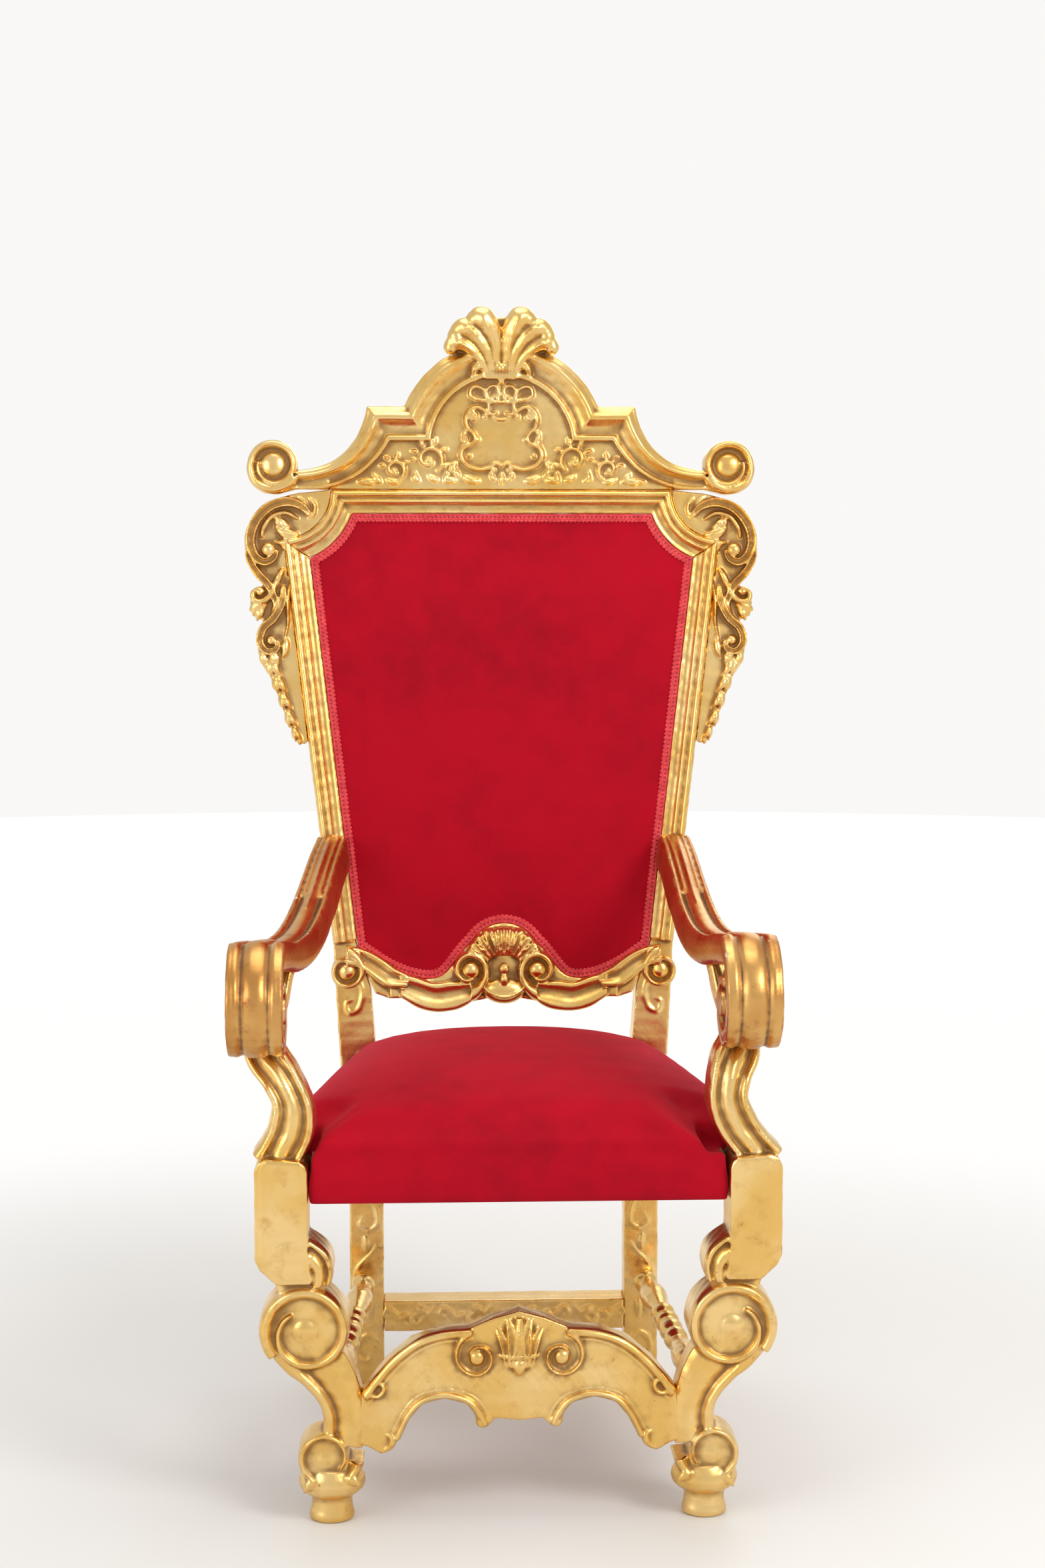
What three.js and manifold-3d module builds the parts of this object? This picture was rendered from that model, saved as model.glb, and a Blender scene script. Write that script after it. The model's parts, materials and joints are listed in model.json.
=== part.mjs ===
// A carved and gilded high-back armchair (throne) with a velvet seat and back.
// Millimetres. Each carved form is first drawn face on as x, up and forward, then set in its place.
import * as THREE from "three";
import { mergeVertices } from "three/addons/utils/BufferGeometryUtils.js";
import Module from "manifold-3d";

const wasm = await Module();
wasm.setup();

// Driving dimensions
const fit = 0.35; // gap left between pieces that touch
const seatDepth = 515; // middle of the front legs to the front face of the rear legs
const postThick = 45;
const rakeFrom = 520; // the back leans from this height up
const rake = Math.tan(THREE.MathUtils.degToRad(6));
const backDepth = 30; // thickness of the boards of the back behind their front face
const arch = { up: 1390, radius: 156, hip: 22.6 };
const step = { up: 1450, reach: 199 };
const crestEnd = { x: 337, up: 1364, eye: 14 };
const railUp = 1327;
const frameWidth = 35;
const notch = { x: 322, up: 1325, radius: 70 };
const stileTop = { x: 322, up: 1253 };
const stileFoot = { x: 251, up: 662 };
const legTop = 252; // height of the middle of the knee scroll
const knee = { x: 271, up: legTop, radius: 57, eye: 20 };
const toe = { x: 246, up: 85, radius: 35, eye: 13 };
const armEye = { y: -10, up: 661, x: 309, half: 35 };
const seat = { low: 414, edge: 492, crown: 556, front: -28, back: 512, frame: 470 };
const sway = { from: 475, full: 600, left: 19, lift: 3 };
const centreY = 281.6; // middle of the whole depth, measured from the front legs

const gilt = { color: 0xcf9a35, roughness: 0.36, metalness: 0.85 };
const wornGilt = { color: 0xa5672c, roughness: 0.42, metalness: 0.45 };
const velvet = { color: 0xa00018, roughness: 0.9, metalness: 0 };
const braid = { color: 0xc01a26, roughness: 0.85, metalness: 0 };

// ---- making solids ----
function solid(geometry) {
  const bare = geometry.clone();
  bare.deleteAttribute("normal");
  bare.deleteAttribute("uv");
  const merged = mergeVertices(bare, 1e-4);
  const make = (corners) =>
    new wasm.Manifold(
      new wasm.Mesh({
        numProp: 3,
        vertProperties: merged.attributes.position.array,
        triVerts: corners,
      }),
    );
  const corners = new Uint32Array(merged.index.array);
  const made = make(corners);
  return made.volume() < 0 ? make(corners.reverse()) : made;
}

const join = (geometries) =>
  geometries.map(solid).reduce((whole, next) => whole.add(next));

function shell(body) {
  const mesh = body.getMesh();
  const geometry = new THREE.BufferGeometry();
  geometry.setAttribute("position", new THREE.BufferAttribute(mesh.vertProperties, 3));
  geometry.setIndex(new THREE.BufferAttribute(mesh.triVerts, 1));
  return geometry;
}

const moved = (body, x, y, z) => solid(shell(body).translate(x, y, z));
const mirrored = (body) => solid(shell(body).scale(-1, 1, 1));

// Takes away from a body what its neighbour fills, and the fit gap on the side given.
const clear = (body, neighbour, x, y, z) =>
  body.subtract(neighbour).subtract(moved(neighbour, x * fit, y * fit, z * fit));

// Turns a face-on form (x, up, forward) upright, with its face at the depth given.
function upright(geometry, depth, leaning = false) {
  const stood = geometry.clone().rotateX(Math.PI / 2).translate(0, depth, 0);
  if (!leaning) return stood;
  const position = stood.attributes.position;
  for (let i = 0; i < position.count; i += 1) {
    const rise = Math.max(0, position.getZ(i) - rakeFrom);
    position.setY(i, position.getY(i) + rise * rake);
  }
  return stood;
}

// The arms and their supports stand a little to the left of true, and a little high on the right.
function racked(body) {
  const geometry = shell(body);
  const position = geometry.attributes.position;
  for (let i = 0; i < position.count; i += 1) {
    const [x, y, z] = [position.getX(i), position.getY(i), position.getZ(i)];
    const high = THREE.MathUtils.clamp((z - sway.from) / (sway.full - sway.from), 0, 1);
    const fore = THREE.MathUtils.clamp((seatDepth - y) / 425, 0, 1);
    position.setXYZ(i, x - sway.left * high * fore, y, z + Math.sign(x) * sway.lift * high * fore);
  }
  return solid(geometry);
}

// ---- drawing ----
const flat = (points) => new THREE.Shape(points.map(([x, y]) => new THREE.Vector2(x, y)));
const mix = (a, b, t) => a + (b - a) * t;
const flip = (points) => points.map(([x, ...rest]) => [-x, ...rest]).reverse();

// A smooth curve through a few points, a straight line and a scroll, each as a function of 0 to 1.
function through(points) {
  const curve = new THREE.SplineCurve(points.map(([x, y]) => new THREE.Vector2(x, y)));
  return (t) => curve.getPoint(t).toArray();
}
const whorl = (x, up, from, to, radii) => (t) => {
  const angle = THREE.MathUtils.degToRad(mix(from, to, t));
  const place = Math.min(t, 0.9999) * (radii.length - 1);
  const radius = mix(radii[Math.floor(place)], radii[Math.floor(place) + 1], place % 1);
  return [x + radius * Math.cos(angle), up + radius * Math.sin(angle)];
};
const trace = (curve, count) =>
  Array.from({ length: count + 1 }, (_, i) => curve(i / count));

// A section drawn out in steps, each of its corners set by a rule of section place and length.
function drawn(section, steps, place) {
  const options = { depth: steps, steps, bevelEnabled: false };
  const geometry = new THREE.ExtrudeGeometry(flat(section), options);
  const position = geometry.attributes.position;
  for (let i = 0; i < position.count; i += 1) {
    const along = Math.round(position.getZ(i));
    position.setXYZ(i, ...place(position.getX(i), position.getY(i), along));
  }
  return geometry;
}

// A carved band between two edges; the section runs from 0 to 1 across and in mm forward.
const band = (section, steps, edgeA, edgeB, rise = () => 1) =>
  drawn(section, steps, (u, v, along) => {
    const t = along / steps;
    const [ax, ay] = edgeA(t);
    const [bx, by] = edgeB(t);
    return [mix(ax, bx, u), mix(ay, by, u), v > 0 ? v * rise(t) : v];
  });

const plate = (points, back, front) =>
  new THREE.ExtrudeGeometry(flat(points), { depth: front - back, bevelEnabled: false })
    .translate(0, 0, back);

const bossOf = (x, up, forward, rx, ry, rz, sides = 6) =>
  new THREE.SphereGeometry(1, sides, sides / 2)
    .scale(rx, ry, rz).translate(x, up, forward);

// A leaf lobe: a round form of changing thickness that follows points in x, up and forward.
function lobe(points, radii, steps = 3, sides = 5) {
  const curve = new THREE.CatmullRomCurve3(points.map((p) => new THREE.Vector3(...p)));
  const ahead = new THREE.Vector3(0, 0, 1);
  const ring = Array.from({ length: sides }, (_, i) => {
    const turn = (i / sides) * 2 * Math.PI;
    return [Math.cos(turn), Math.sin(turn)];
  });
  return drawn(ring, steps, (u, v, along) => {
    const t = along / steps;
    const place = Math.min(t, 0.9999) * (radii.length - 1);
    const radius = mix(radii[Math.floor(place)], radii[Math.floor(place) + 1], place % 1);
    const side = curve.getTangent(t).cross(ahead).normalize();
    const at = curve.getPoint(t);
    return [at.x + side.x * u * radius, at.y + side.y * u * radius, at.z + v * radius];
  });
}

// ---- mouldings that turn corners ----
// A leg of a route gives the point at a fraction of its length, set in by the offset.
const straight = (a, b) => (offset, t) => {
  const [dx, dy] = [b[0] - a[0], b[1] - a[1]];
  const size = Math.hypot(dx, dy);
  return [a[0] + dx * t + (dy / size) * offset, a[1] + dy * t - (dx / size) * offset];
};
const round = (x, up, radius, from, to) => (offset, t) => {
  const angle = THREE.MathUtils.degToRad(mix(from, to, t));
  const reach = radius + Math.sign(to - from) * offset;
  return [x + reach * Math.cos(angle), up + reach * Math.sin(angle)];
};
const swept = (a, b, c, d, slimA = 1, slimB = 1) => (offset, t) => {
  const s = 1 - t;
  const at = (k) => s * s * s * a[k] + 3 * s * s * t * b[k] + 3 * s * t * t * c[k] + t * t * t * d[k];
  const go = (k) => s * s * (b[k] - a[k]) + 2 * s * t * (c[k] - b[k]) + t * t * (d[k] - c[k]);
  const reach = (offset * mix(slimA, slimB, t)) / Math.hypot(go(0), go(1));
  return [at(0) + go(1) * reach, at(1) - go(0) * reach];
};

// Where two legs meet once both are set in by the same offset.
function mitre(before, after, offset) {
  let [s, t] = [1, 0];
  for (let pass = 0; pass < 12; pass += 1) {
    const a = before(offset, s);
    const b = after(offset, t);
    const [dax, day] = before(offset, s + 1e-4).map((value, k) => (value - a[k]) / 1e-4);
    const [dbx, dby] = after(offset, t + 1e-4).map((value, k) => (value - b[k]) / 1e-4);
    const turn = -dax * dby + dbx * day;
    if (Math.abs(turn) < 0.05 * Math.hypot(dax, day) * Math.hypot(dbx, dby)) break;
    const [ex, ey] = [b[0] - a[0], b[1] - a[1]];
    s += (-ex * dby + dbx * ey) / turn;
    t += (dax * ey - day * ex) / turn;
  }
  return [s, t];
}

function moulding(section, legs, steps) {
  const marks = steps.reduce((list, count) => [...list, list.at(-1) + count], [0]);
  const corners = new Map();
  const cornersAt = (offset) => {
    const key = offset.toFixed(3);
    if (!corners.has(key)) {
      const meets = legs.slice(1).map((leg, i) => mitre(legs[i], leg, offset));
      corners.set(key, [[0, 0], ...meets, [1, 1]]);
    }
    return corners.get(key);
  };
  return drawn(section, marks.at(-1), (offset, forward, along) => {
    const k = Math.max(0, marks.findIndex((mark) => mark >= along) - 1);
    const meets = cornersAt(offset);
    const from = k === 0 ? 0 : meets[k][1];
    const t = mix(from, meets[k + 1][0], (along - marks[k]) / steps[k]);
    return [...legs[k](offset, t), forward];
  });
}

// The outline of a run of legs at an offset, for a closed run or an open one.
function outlineOf(legs, steps, offset, closed = true) {
  const meets = legs.map((leg, i) => mitre(leg, legs[(i + 1) % legs.length], offset));
  if (!closed) meets[legs.length - 1] = [1, 0];
  return legs.flatMap((leg, i) => {
    const from = meets.at(i - 1)[1];
    return Array.from({ length: steps[i] }, (_, k) => leg(offset, mix(from, meets[i][0], k / steps[i])));
  });
}

// A scroll end: a raised band that winds in to a domed eye.
function scrollEnd({ x, up, from, to, radii, slim, back, level, eye, steps = 16 }) {
  const section = [[0, back], [0, level * 0.6], [0.45, level], [1, level * 0.4], [1, back]];
  const inner = radii.map((radius, i) => radius - mix(slim[0], slim[1], i / (radii.length - 1)));
  return [
    band(section, steps, whorl(x, up, from, to, radii), whorl(x, up, from, to, inner)),
    bossOf(x, up, level * 0.35, eye, eye, level * 0.8),
  ];
}

// ---- crest board ----
const hip = THREE.MathUtils.degToRad(arch.hip);
const hipAt = [arch.radius * Math.cos(hip), step.up];
const wing = [[step.reach, step.up], [209, 1388], [250, 1357], [302, 1356]];
const slimWing = 0.55; // the moulding narrows along the wing to this share
const [wingIn, wingB, wingC, wingOut] = wing;
const [leftOut, leftC, leftB, leftIn] = flip([wingIn, wingB, wingC, wingOut]);
const crestLegs = [
  swept(leftOut, leftC, leftB, leftIn, slimWing, 1),
  straight(leftIn, [-hipAt[0], step.up]),
  round(0, arch.up, arch.radius, 180 - arch.hip, arch.hip),
  straight([hipAt[0], step.up], wingIn),
  swept(wingIn, wingB, wingC, wingOut, 1, slimWing),
];
const crestSection = [
  [0, -backDepth], [0, 6], [7, 8], [12, 16], [20, 16], [27, 8], [39, 4], [50, 8], [50, -backDepth],
];

function crestFrame() {
  const lowEdge = railUp + fit;
  const inside = outlineOf(crestLegs, [3, 1, 6, 1, 3], 42, false);
  const panel = plate([[-300, lowEdge], ...inside, [300, lowEdge]], -backDepth, 2);
  const foot = [[256, lowEdge], [304, lowEdge], [332, 1320], [352, 1322], [300, 1345], [256, 1345]];
  return [
    moulding(crestSection, crestLegs, [3, 1, 9, 1, 3]),
    panel,
    plate(foot, -backDepth, 6),
    plate(flip(foot), -backDepth, 6),
  ];
}

const crestScroll = () => [
  ...scrollEnd({
    x: crestEnd.x, up: crestEnd.up, from: -150, to: 360, radii: [44, 44, 37, 36, 34, 25], slim: [18, 11],
    back: -backDepth, level: 17, eye: crestEnd.eye, steps: 11,
  }),
  new THREE.CylinderGeometry(30, 30, backDepth + 6, 8)
    .rotateX(Math.PI / 2).translate(crestEnd.x, crestEnd.up, (6 - backDepth) / 2),
];

// The acanthus finial: three lobes each side of a flaring stem.
function finialSide() {
  return [
    lobe([[10, 1500, 6], [13, 1542, 16], [24, 1578, 24], [40, 1587, 24], [51, 1577, 20]], [12, 13, 15, 13, 8]),
    lobe([[20, 1500, 4], [30, 1532, 14], [50, 1553, 22], [68, 1556, 22], [76, 1548, 18]], [12, 13, 15, 14, 9]),
    lobe([[26, 1496, 2], [44, 1518, 10], [64, 1537, 18], [79, 1536, 16]], [10, 10, 13, 10]),
    lobe([[34, 1520, 4], [40, 1506, 8], [43, 1494, 8]], [9, 8, 4], 3),
  ];
}
const finialStem = [
  [-24, 1490], [-30, 1520], [-52, 1556], [-30, 1584], [30, 1584], [52, 1556], [30, 1520], [24, 1490],
];

// The blank cartouche with its open crown, in low relief on the panel.
const cartouche = [
  [0, 1357], [22, 1360], [40, 1372], [56, 1386], [42, 1392], [40, 1404], [54, 1416], [48, 1438], [24, 1436], [0, 1444],
];
const crown = [[0, 1448], [30, 1446], [46, 1466], [38, 1478], [22, 1470], [12, 1480], [0, 1470]];
const lowBead = [[0, 1], [0.5, 6.5], [1, 1]];

function reliefSide() {
  const frameEdge = through(cartouche);
  const frameIn = through(cartouche.map(([x, up]) => [x * 0.88, mix(1400, up, 0.9)]));
  const crownIn = through(crown.map(([x, up]) => [x * 0.8, mix(1462, up, 0.72)]));
  const scrolls = [
    { x: 106, up: 1362, from: 260, to: -60, radii: [26, 22, 12] },
    { x: 160, up: 1350, from: 250, to: -60, radii: [19, 16, 8] },
  ];
  return [
    band(lowBead, 9, frameEdge, frameIn),
    band(lowBead, 6, through(crown), crownIn),
    ...scrolls.map(({ x, up, from, to, radii }) =>
      band(lowBead, 5, whorl(x, up, from, to, radii), whorl(x, up, from, to, radii.map((r) => r - 6)))),
    lobe([[34, 1340, 2], [60, 1346, 4], [86, 1338, 2]], [4, 7, 3], 2, 4),
    lobe([[120, 1340, 2], [138, 1346, 4], [128, 1366, 2]], [3, 6, 3], 2, 4),
    lobe([[176, 1336, 2], [196, 1342, 4], [212, 1336, 2]], [4, 6, 2], 2, 4),
  ];
}

function makeCrest() {
  const side = [...crestScroll(), ...finialSide(), ...reliefSide()];
  const forms = [
    ...crestFrame(),
    plate(finialStem, -18, 12),
    bossOf(0, 1506, 12, 7, 7, 7, 6),
    bossOf(0, 1486, 3, 6, 6, 6, 6),
    ...side,
    ...side.map((form) => shell(mirrored(solid(form)))),
  ];
  return solid(upright(shell(join(forms)), seatDepth, true));
}

// ---- frame round the velvet ----
const frameSection = [
  [0, -backDepth], [0, 7], [6, 14], [12, 9], [17, 10], [22, 5], [35, 4], [35, -backDepth],
];
const notchLeg = (side, from, to) => round(side * notch.x, notch.up, notch.radius, from, to);
const railLegs = [
  notchLeg(-1, -90, 0),
  straight([notch.radius - notch.x, railUp], [notch.x - notch.radius, railUp]),
  notchLeg(1, 180, 270),
];
const stileLeg = (side) => {
  const ends = [[side * stileFoot.x, stileFoot.up], [side * stileTop.x, stileTop.up]];
  return side < 0 ? straight(...ends) : straight(...ends.reverse());
};

// The top rail stops at the mitre with each stile.
function makeTopRail() {
  const legs = [stileLeg(-1), ...railLegs, stileLeg(1)];
  const { x, up } = stileTop;
  const reach = frameWidth + 6;
  const low = up - reach;
  const stile = [[x + 6, up + 6], [x - reach, low], [150, low], [150, 600], [x + 30, 600], [x + 30, up + 6]];
  return join([moulding(frameSection, legs, [1, 5, 1, 5, 1])])
    .subtract(join([plate(stile, -60, 60), plate(flip(stile), -60, 60)]));
}

// A rear leg that runs on up as the moulded stile of the back.
function makePost() {
  const outer = [[229, 0], [229, 290], [243, rakeFrom], [stileFoot.x, stileFoot.up]];
  const inner = [[219, stileFoot.up + 8], [196, 596], [190, rakeFrom], [179, 290], [179, 0]];
  const leg = plate([...outer, ...inner], -postThick, 0);
  const top = stileTop.up + 6;
  const stile = moulding(frameSection, [straight([stileTop.x + 0.7, top], [stileFoot.x, stileFoot.up])], [1]);
  const backing = plate([
    [stileTop.x, stileTop.up - 45], [stileFoot.x, stileFoot.up - 4], [218, stileFoot.up - 4], [288, stileTop.up - 45],
  ], -postThick, -10);
  const above = plate([
    [stileTop.x + 20, stileTop.up + 20], [stileTop.x - 60, stileTop.up - 60], [stileTop.x - 60, 1400], [400, 1400],
  ], -60, 60);
  return join([leg, stile, backing]).subtract(solid(above));
}

// ---- side ornament ----
const ornamentEdge = [
  [300, 1322], [335, 1312], [364, 1290], [379, 1262], [376, 1230], [360, 1205], [349, 1190], [366, 1178],
  [371, 1160], [366, 1143], [352, 1132], [361, 1100], [352, 1066], [330, 1040], [324, 1005], [310, 975], [293, 953],
];
function makeOrnament() {
  const stile = stileLeg(1);
  const board = [
    [notch.x - notch.radius + 1, railUp - fit], ...ornamentEdge,
    ...trace((t) => stile(-fit, mix(0.5, 0, t)), 1),
    ...trace((t) => notchLeg(1, 270, 180)(fit, t), 5),
  ];
  const rim = (points, widths, steps) => {
    const line = through(points);
    const edge = (side) => (t) => {
      const [x, up] = line(t);
      const [nx, ny] = line(Math.min(1, t + 0.01));
      const [px, py] = line(Math.max(0, t - 0.01));
      const size = Math.hypot(nx - px, ny - py);
      const half = (side * mix(widths[0], widths[1], t)) / 2;
      return [x + ((ny - py) / size) * half, up - ((nx - px) / size) * half];
    };
    return band([[0, 0], [0, 8], [0.5, 14], [1, 8], [1, 0]], steps, edge(1), edge(-1));
  };
  const forms = [
    plate(board, -16, 4),
    rim([[284, 1290], [306, 1303], [340, 1298], [366, 1272], [371, 1246], [358, 1226], [340, 1224], [333, 1238]], [14, 11], 7),
    rim([[366, 1220], [352, 1200], [343, 1184], [350, 1168], [362, 1164]], [12, 8], 4),
    rim([[324, 1186], [330, 1150], [347, 1126], [350, 1102], [338, 1092], [328, 1104]], [13, 9], 5),
    bossOf(343, 1239, 8, 11, 11, 9),
    lobe([[300, 1262, 4], [318, 1274, 10], [344, 1266, 8]], [7, 10, 5], 3),
    lobe([[336, 1180, 4], [352, 1152, 8], [366, 1148, 4]], [6, 9, 4], 3),
  ];
  const husks = [[341, 1070, 15], [328, 1040, 13], [316, 1010, 12], [306, 980, 10]];
  husks.forEach(([x, up, size]) => forms.push(bossOf(x, up, 4, size * 0.75, size * 1.5, size * 0.8, 6)));
  return join(forms);
}

// ---- lower rail of the back ----
const railBand = [[0, 0.4], [0, 14], [0.35, 14], [0.75, 21], [1, 12], [1, 0.4]];
function lowerRailSide() {
  const top = through([[232, 659], [214, 656], [194, 649], [174, 637], [158, 625], [142, 617]]);
  const under = through([[232, 630], [215, 628], [200, 618], [186, 606], [170, 598], [142, 600]]);
  const dipTop = through([[152, 618], [130, 613], [104, 604], [82, 606], [64, 606], [49, 606]]);
  const dipUnder = through([[152, 584], [128, 569], [100, 562], [74, 564], [58, 570], [49, 576]]);
  return [
    band(railBand, 4, top, under),
    band(railBand, 4, dipTop, dipUnder),
    plate([[140, 582], [168, 582], [168, 610], [140, 610]], -22, 10),
    ...scrollEnd({
      x: 231, up: 623, from: 90, to: 470, radii: [36, 29, 26, 22, 16], slim: [28, 8], back: 0.4, level: 20, eye: 15, steps: 7,
    }),
    ...scrollEnd({
      x: 49, up: 623, from: -90, to: -450, radii: [47, 28, 27, 24, 16], slim: [30, 8], back: -22, level: 22, eye: 14, steps: 8,
    }),
  ];
}
function makeLowerRail() {
  const coreTop = [[189, 660], [130, 640], [60, 680], [30, 700]];
  const coreLow = [[189, 588], [168, 581], [140, 582], [118, 566], [84, 564], [50, 575], [24, 580]];
  const core = [...coreTop, ...flip(coreTop), ...flip(coreLow).reverse(), ...coreLow.reverse()];
  const ribs = [-58, -30, 0, 30, 58].map((lean) => {
    const angle = THREE.MathUtils.degToRad(lean);
    const reach = 54 - Math.abs(lean) * 0.16;
    const at = (r, forward) => [r * Math.sin(angle), 624 + r * Math.cos(angle), forward];
    return lobe([at(6, 8), at(reach * 0.5, 16), at(reach, 10)], [4, 10, 9], 2);
  });
  const side = lowerRailSide();
  const board = solid(plate(core, -22, 6)).subtract(solid(plate(velvetEdge(0), -60, 60)));
  const forms = [
    shell(board),
    ...ribs,
    bossOf(0, 617, 12, 8, 13, 12),
    bossOf(0, 592, 6, 31, 19, 12),
    ...side,
    ...side.map((form) => shell(mirrored(solid(form)))),
  ];
  return join(forms);
}

// ---- velvet and braid of the back ----
const velvetLegs = (() => {
  const side = (k) => [
    swept([k * 47, 663], [k * 76, 638], [k * 78, 608], [k * 112, 609]),
    swept([k * 112, 609], [k * 160, 613], [k * 190, 640], [k * 226, 664]),
  ];
  const back = (leg) => (offset, t) => leg(-offset, 1 - t);
  const [rightIn, rightOut] = side(1);
  const [leftIn, leftOut] = side(-1);
  return [
    stileLeg(-1), ...railLegs, stileLeg(1),
    (offset, t) => back(rightOut)(offset - frameWidth, t),
    (offset, t) => back(rightIn)(offset - frameWidth, t),
    (offset, t) => round(0, 636, 54, 30, 150)(offset - frameWidth, t),
    (offset, t) => leftIn(offset - frameWidth, t),
    (offset, t) => leftOut(offset - frameWidth, t),
  ];
})();
const velvetSteps = [1, 5, 1, 5, 1, 3, 3, 4, 3, 3];
const velvetEdge = (offset) => outlineOf(velvetLegs, velvetSteps, frameWidth + offset);

function makeBackPad() {
  const slab = plate(velvetEdge(fit), -backDepth + 2, 1);
  const layers = [[-3, 0.92], [2, 0.92], [7, 0.87], [11, 0.74], [13, 0.5]]; // forward, share of the outline
  const middle = 960;
  const crowned = drawn(velvetEdge(fit), layers.length - 1, (x, up, along) => {
    const [forward, share] = layers[along];
    return [x * share, middle + (up - middle) * share, forward];
  });
  return join([slab, crowned]);
}
function makeBraid() {
  const ring = flat(velvetEdge(fit).reverse());
  ring.holes.push(new THREE.Path(velvetEdge(12.5).map(([x, y]) => new THREE.Vector2(x, y))));
  const depth = 3;
  return solid(new THREE.ExtrudeGeometry(ring, { depth, bevelEnabled: false }).translate(0, 0, 1 + fit));
}

// ---- front leg: scroll leg, block and arm support in one piece ----
const bulge = (depth, rise = 7) => [
  [0, -depth], [0, depth - rise], [0.14, depth], [0.36, depth - rise], [0.7, depth], [1, depth - rise], [1, -depth],
];
function armSupport() {
  const line = new THREE.CatmullRomCurve3([
    [308, 462, 0], [297, 482, 0], [282, 508, 0], [275, 540, 0], [285, 574, -6], [302, 602, -22], [306, 632, -44],
    [299, 666, -66], [290, 704, -80],
  ].map((point) => new THREE.Vector3(...point)));
  const ahead = new THREE.Vector3(0, 0, 1);
  const fluted = [
    [-0.5, -0.5], [-0.5, 0.36], [-0.38, 0.5], [-0.22, 0.36], [0, 0.48], [0.22, 0.36], [0.38, 0.5], [0.5, 0.36],
    [0.5, -0.5],
  ];
  return drawn(fluted, 8, (u, v, along) => {
    const t = along / 8;
    const at = line.getPoint(t);
    const side = line.getTangent(t).setZ(0).normalize().cross(ahead);
    const wide = mix(54, 50, t);
    return [at.x + side.x * wide * u, at.y + side.y * wide * u, at.z + mix(54, 40, t) * v];
  });
}
function makeLeg() {
  const block = [[266, 345], [266, 458], [272, 470], [322, 474], [333, 460], [333, 342], [306, 314], [262, 314]];
  const leafEdge = through([[264, 368], [240, 352], [234, 332], [238, 312]]);
  const leafIn = through([[290, 350], [274, 342], [262, 330], [262, 312]]);
  const outer = through([[328, 240], [319, 224], [299, 200], [275, 180], [257, 160], [249, 140], [250, 118]]);
  const inner = through([[233, 236], [222, 222], [210, 200], [203, 180], [198, 155], [196, 125], [198, 100]]);
  const foot = [[0, 0], [28, 0], [25, 29], [40, 41], [41, 54], [33, 69], [0, 74]];
  return join([
    armSupport(),
    plate(block, -36, 36),
    band(bulge(33), 3, leafEdge, leafIn),
    plate([[256, 314], [256, 350], [300, 350], [300, 300], [262, 300]], -26, 26),
    band(bulge(26), 6, outer, inner),
    new THREE.CylinderGeometry(48, 48, 54, 10).rotateX(Math.PI / 2).translate(knee.x, knee.up, 0),
    ...scrollEnd({
      x: knee.x, up: knee.up, from: -35, to: 400, radii: [59, 58, 57, 55, 45, 34], slim: [24, 12], back: -30, level: 34,
      eye: knee.eye, steps: 11,
    }),
    new THREE.CylinderGeometry(30, 30, 52, 8).rotateX(Math.PI / 2).translate(toe.x, toe.up, 0),
    ...scrollEnd({
      x: toe.x, up: toe.up, from: 190, to: 560, radii: [49, 38, 35, 34, 24], slim: [24, 9], back: -29, level: 31,
      eye: toe.eye, steps: 8,
    }),
    new THREE.LatheGeometry(foot.map(([r, up]) => new THREE.Vector2(r, up)), 8)
      .scale(1.03, 1, 0.85).translate(239, 0, 0),
  ]);
}

// ---- arm ----
function makeArm() {
  const top = through([[535, 822], [470, 812], [380, 789], [280, 758], [180, 738], [90, 736], [40, 745], [-10, 751]]);
  const low = through([[535, 762], [470, 755], [380, 732], [280, 704], [180, 692], [100, 692], [40, 702], [-10, 708]]);
  const curlOut = whorl(armEye.y, armEye.up, 90, 470, [90, 81, 67, 52, 46, 40, 32]);
  const curlIn = whorl(armEye.y, armEye.up, 90, 470, [47, 42, 34, 26, 24, 22, 20]);
  const [armSteps, curlSteps] = [7, 11];
  const total = armSteps + curlSteps;
  const ribbed = [
    [-0.9, 0], [-1, 0.7], [-0.65, 0.98], [-0.3, 0.9], [0, 1], [0.3, 0.9], [0.65, 0.98], [1, 0.7], [0.9, 0],
  ];
  const middle = through([[0, 252], [1, 256], [2, 264], [3, 276], [4, 294], [5, armEye.x], [6, armEye.x]]);
  const body = drawn(ribbed, total, (u, v, along) => {
    const onArm = along <= armSteps;
    const t = onArm ? along / armSteps : (along - armSteps) / curlSteps;
    const [outY, outZ] = onArm ? top(t) : curlOut(t);
    const [inY, inZ] = onArm ? low(t) : curlIn(t);
    const x = onArm ? middle(t * 0.84)[1] : armEye.x;
    const half = onArm ? mix(26, armEye.half, t * t) : armEye.half;
    return [x + u * half, mix(inY, outY, v), mix(inZ, outZ, v)];
  });
  const disc = (radius, half) =>
    new THREE.CylinderGeometry(radius, radius, 2 * half, 10)
      .rotateZ(Math.PI / 2).translate(armEye.x, armEye.y, armEye.up);
  return join([body, disc(46, armEye.half - 7), disc(17, armEye.half + 2)]);
}

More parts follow.
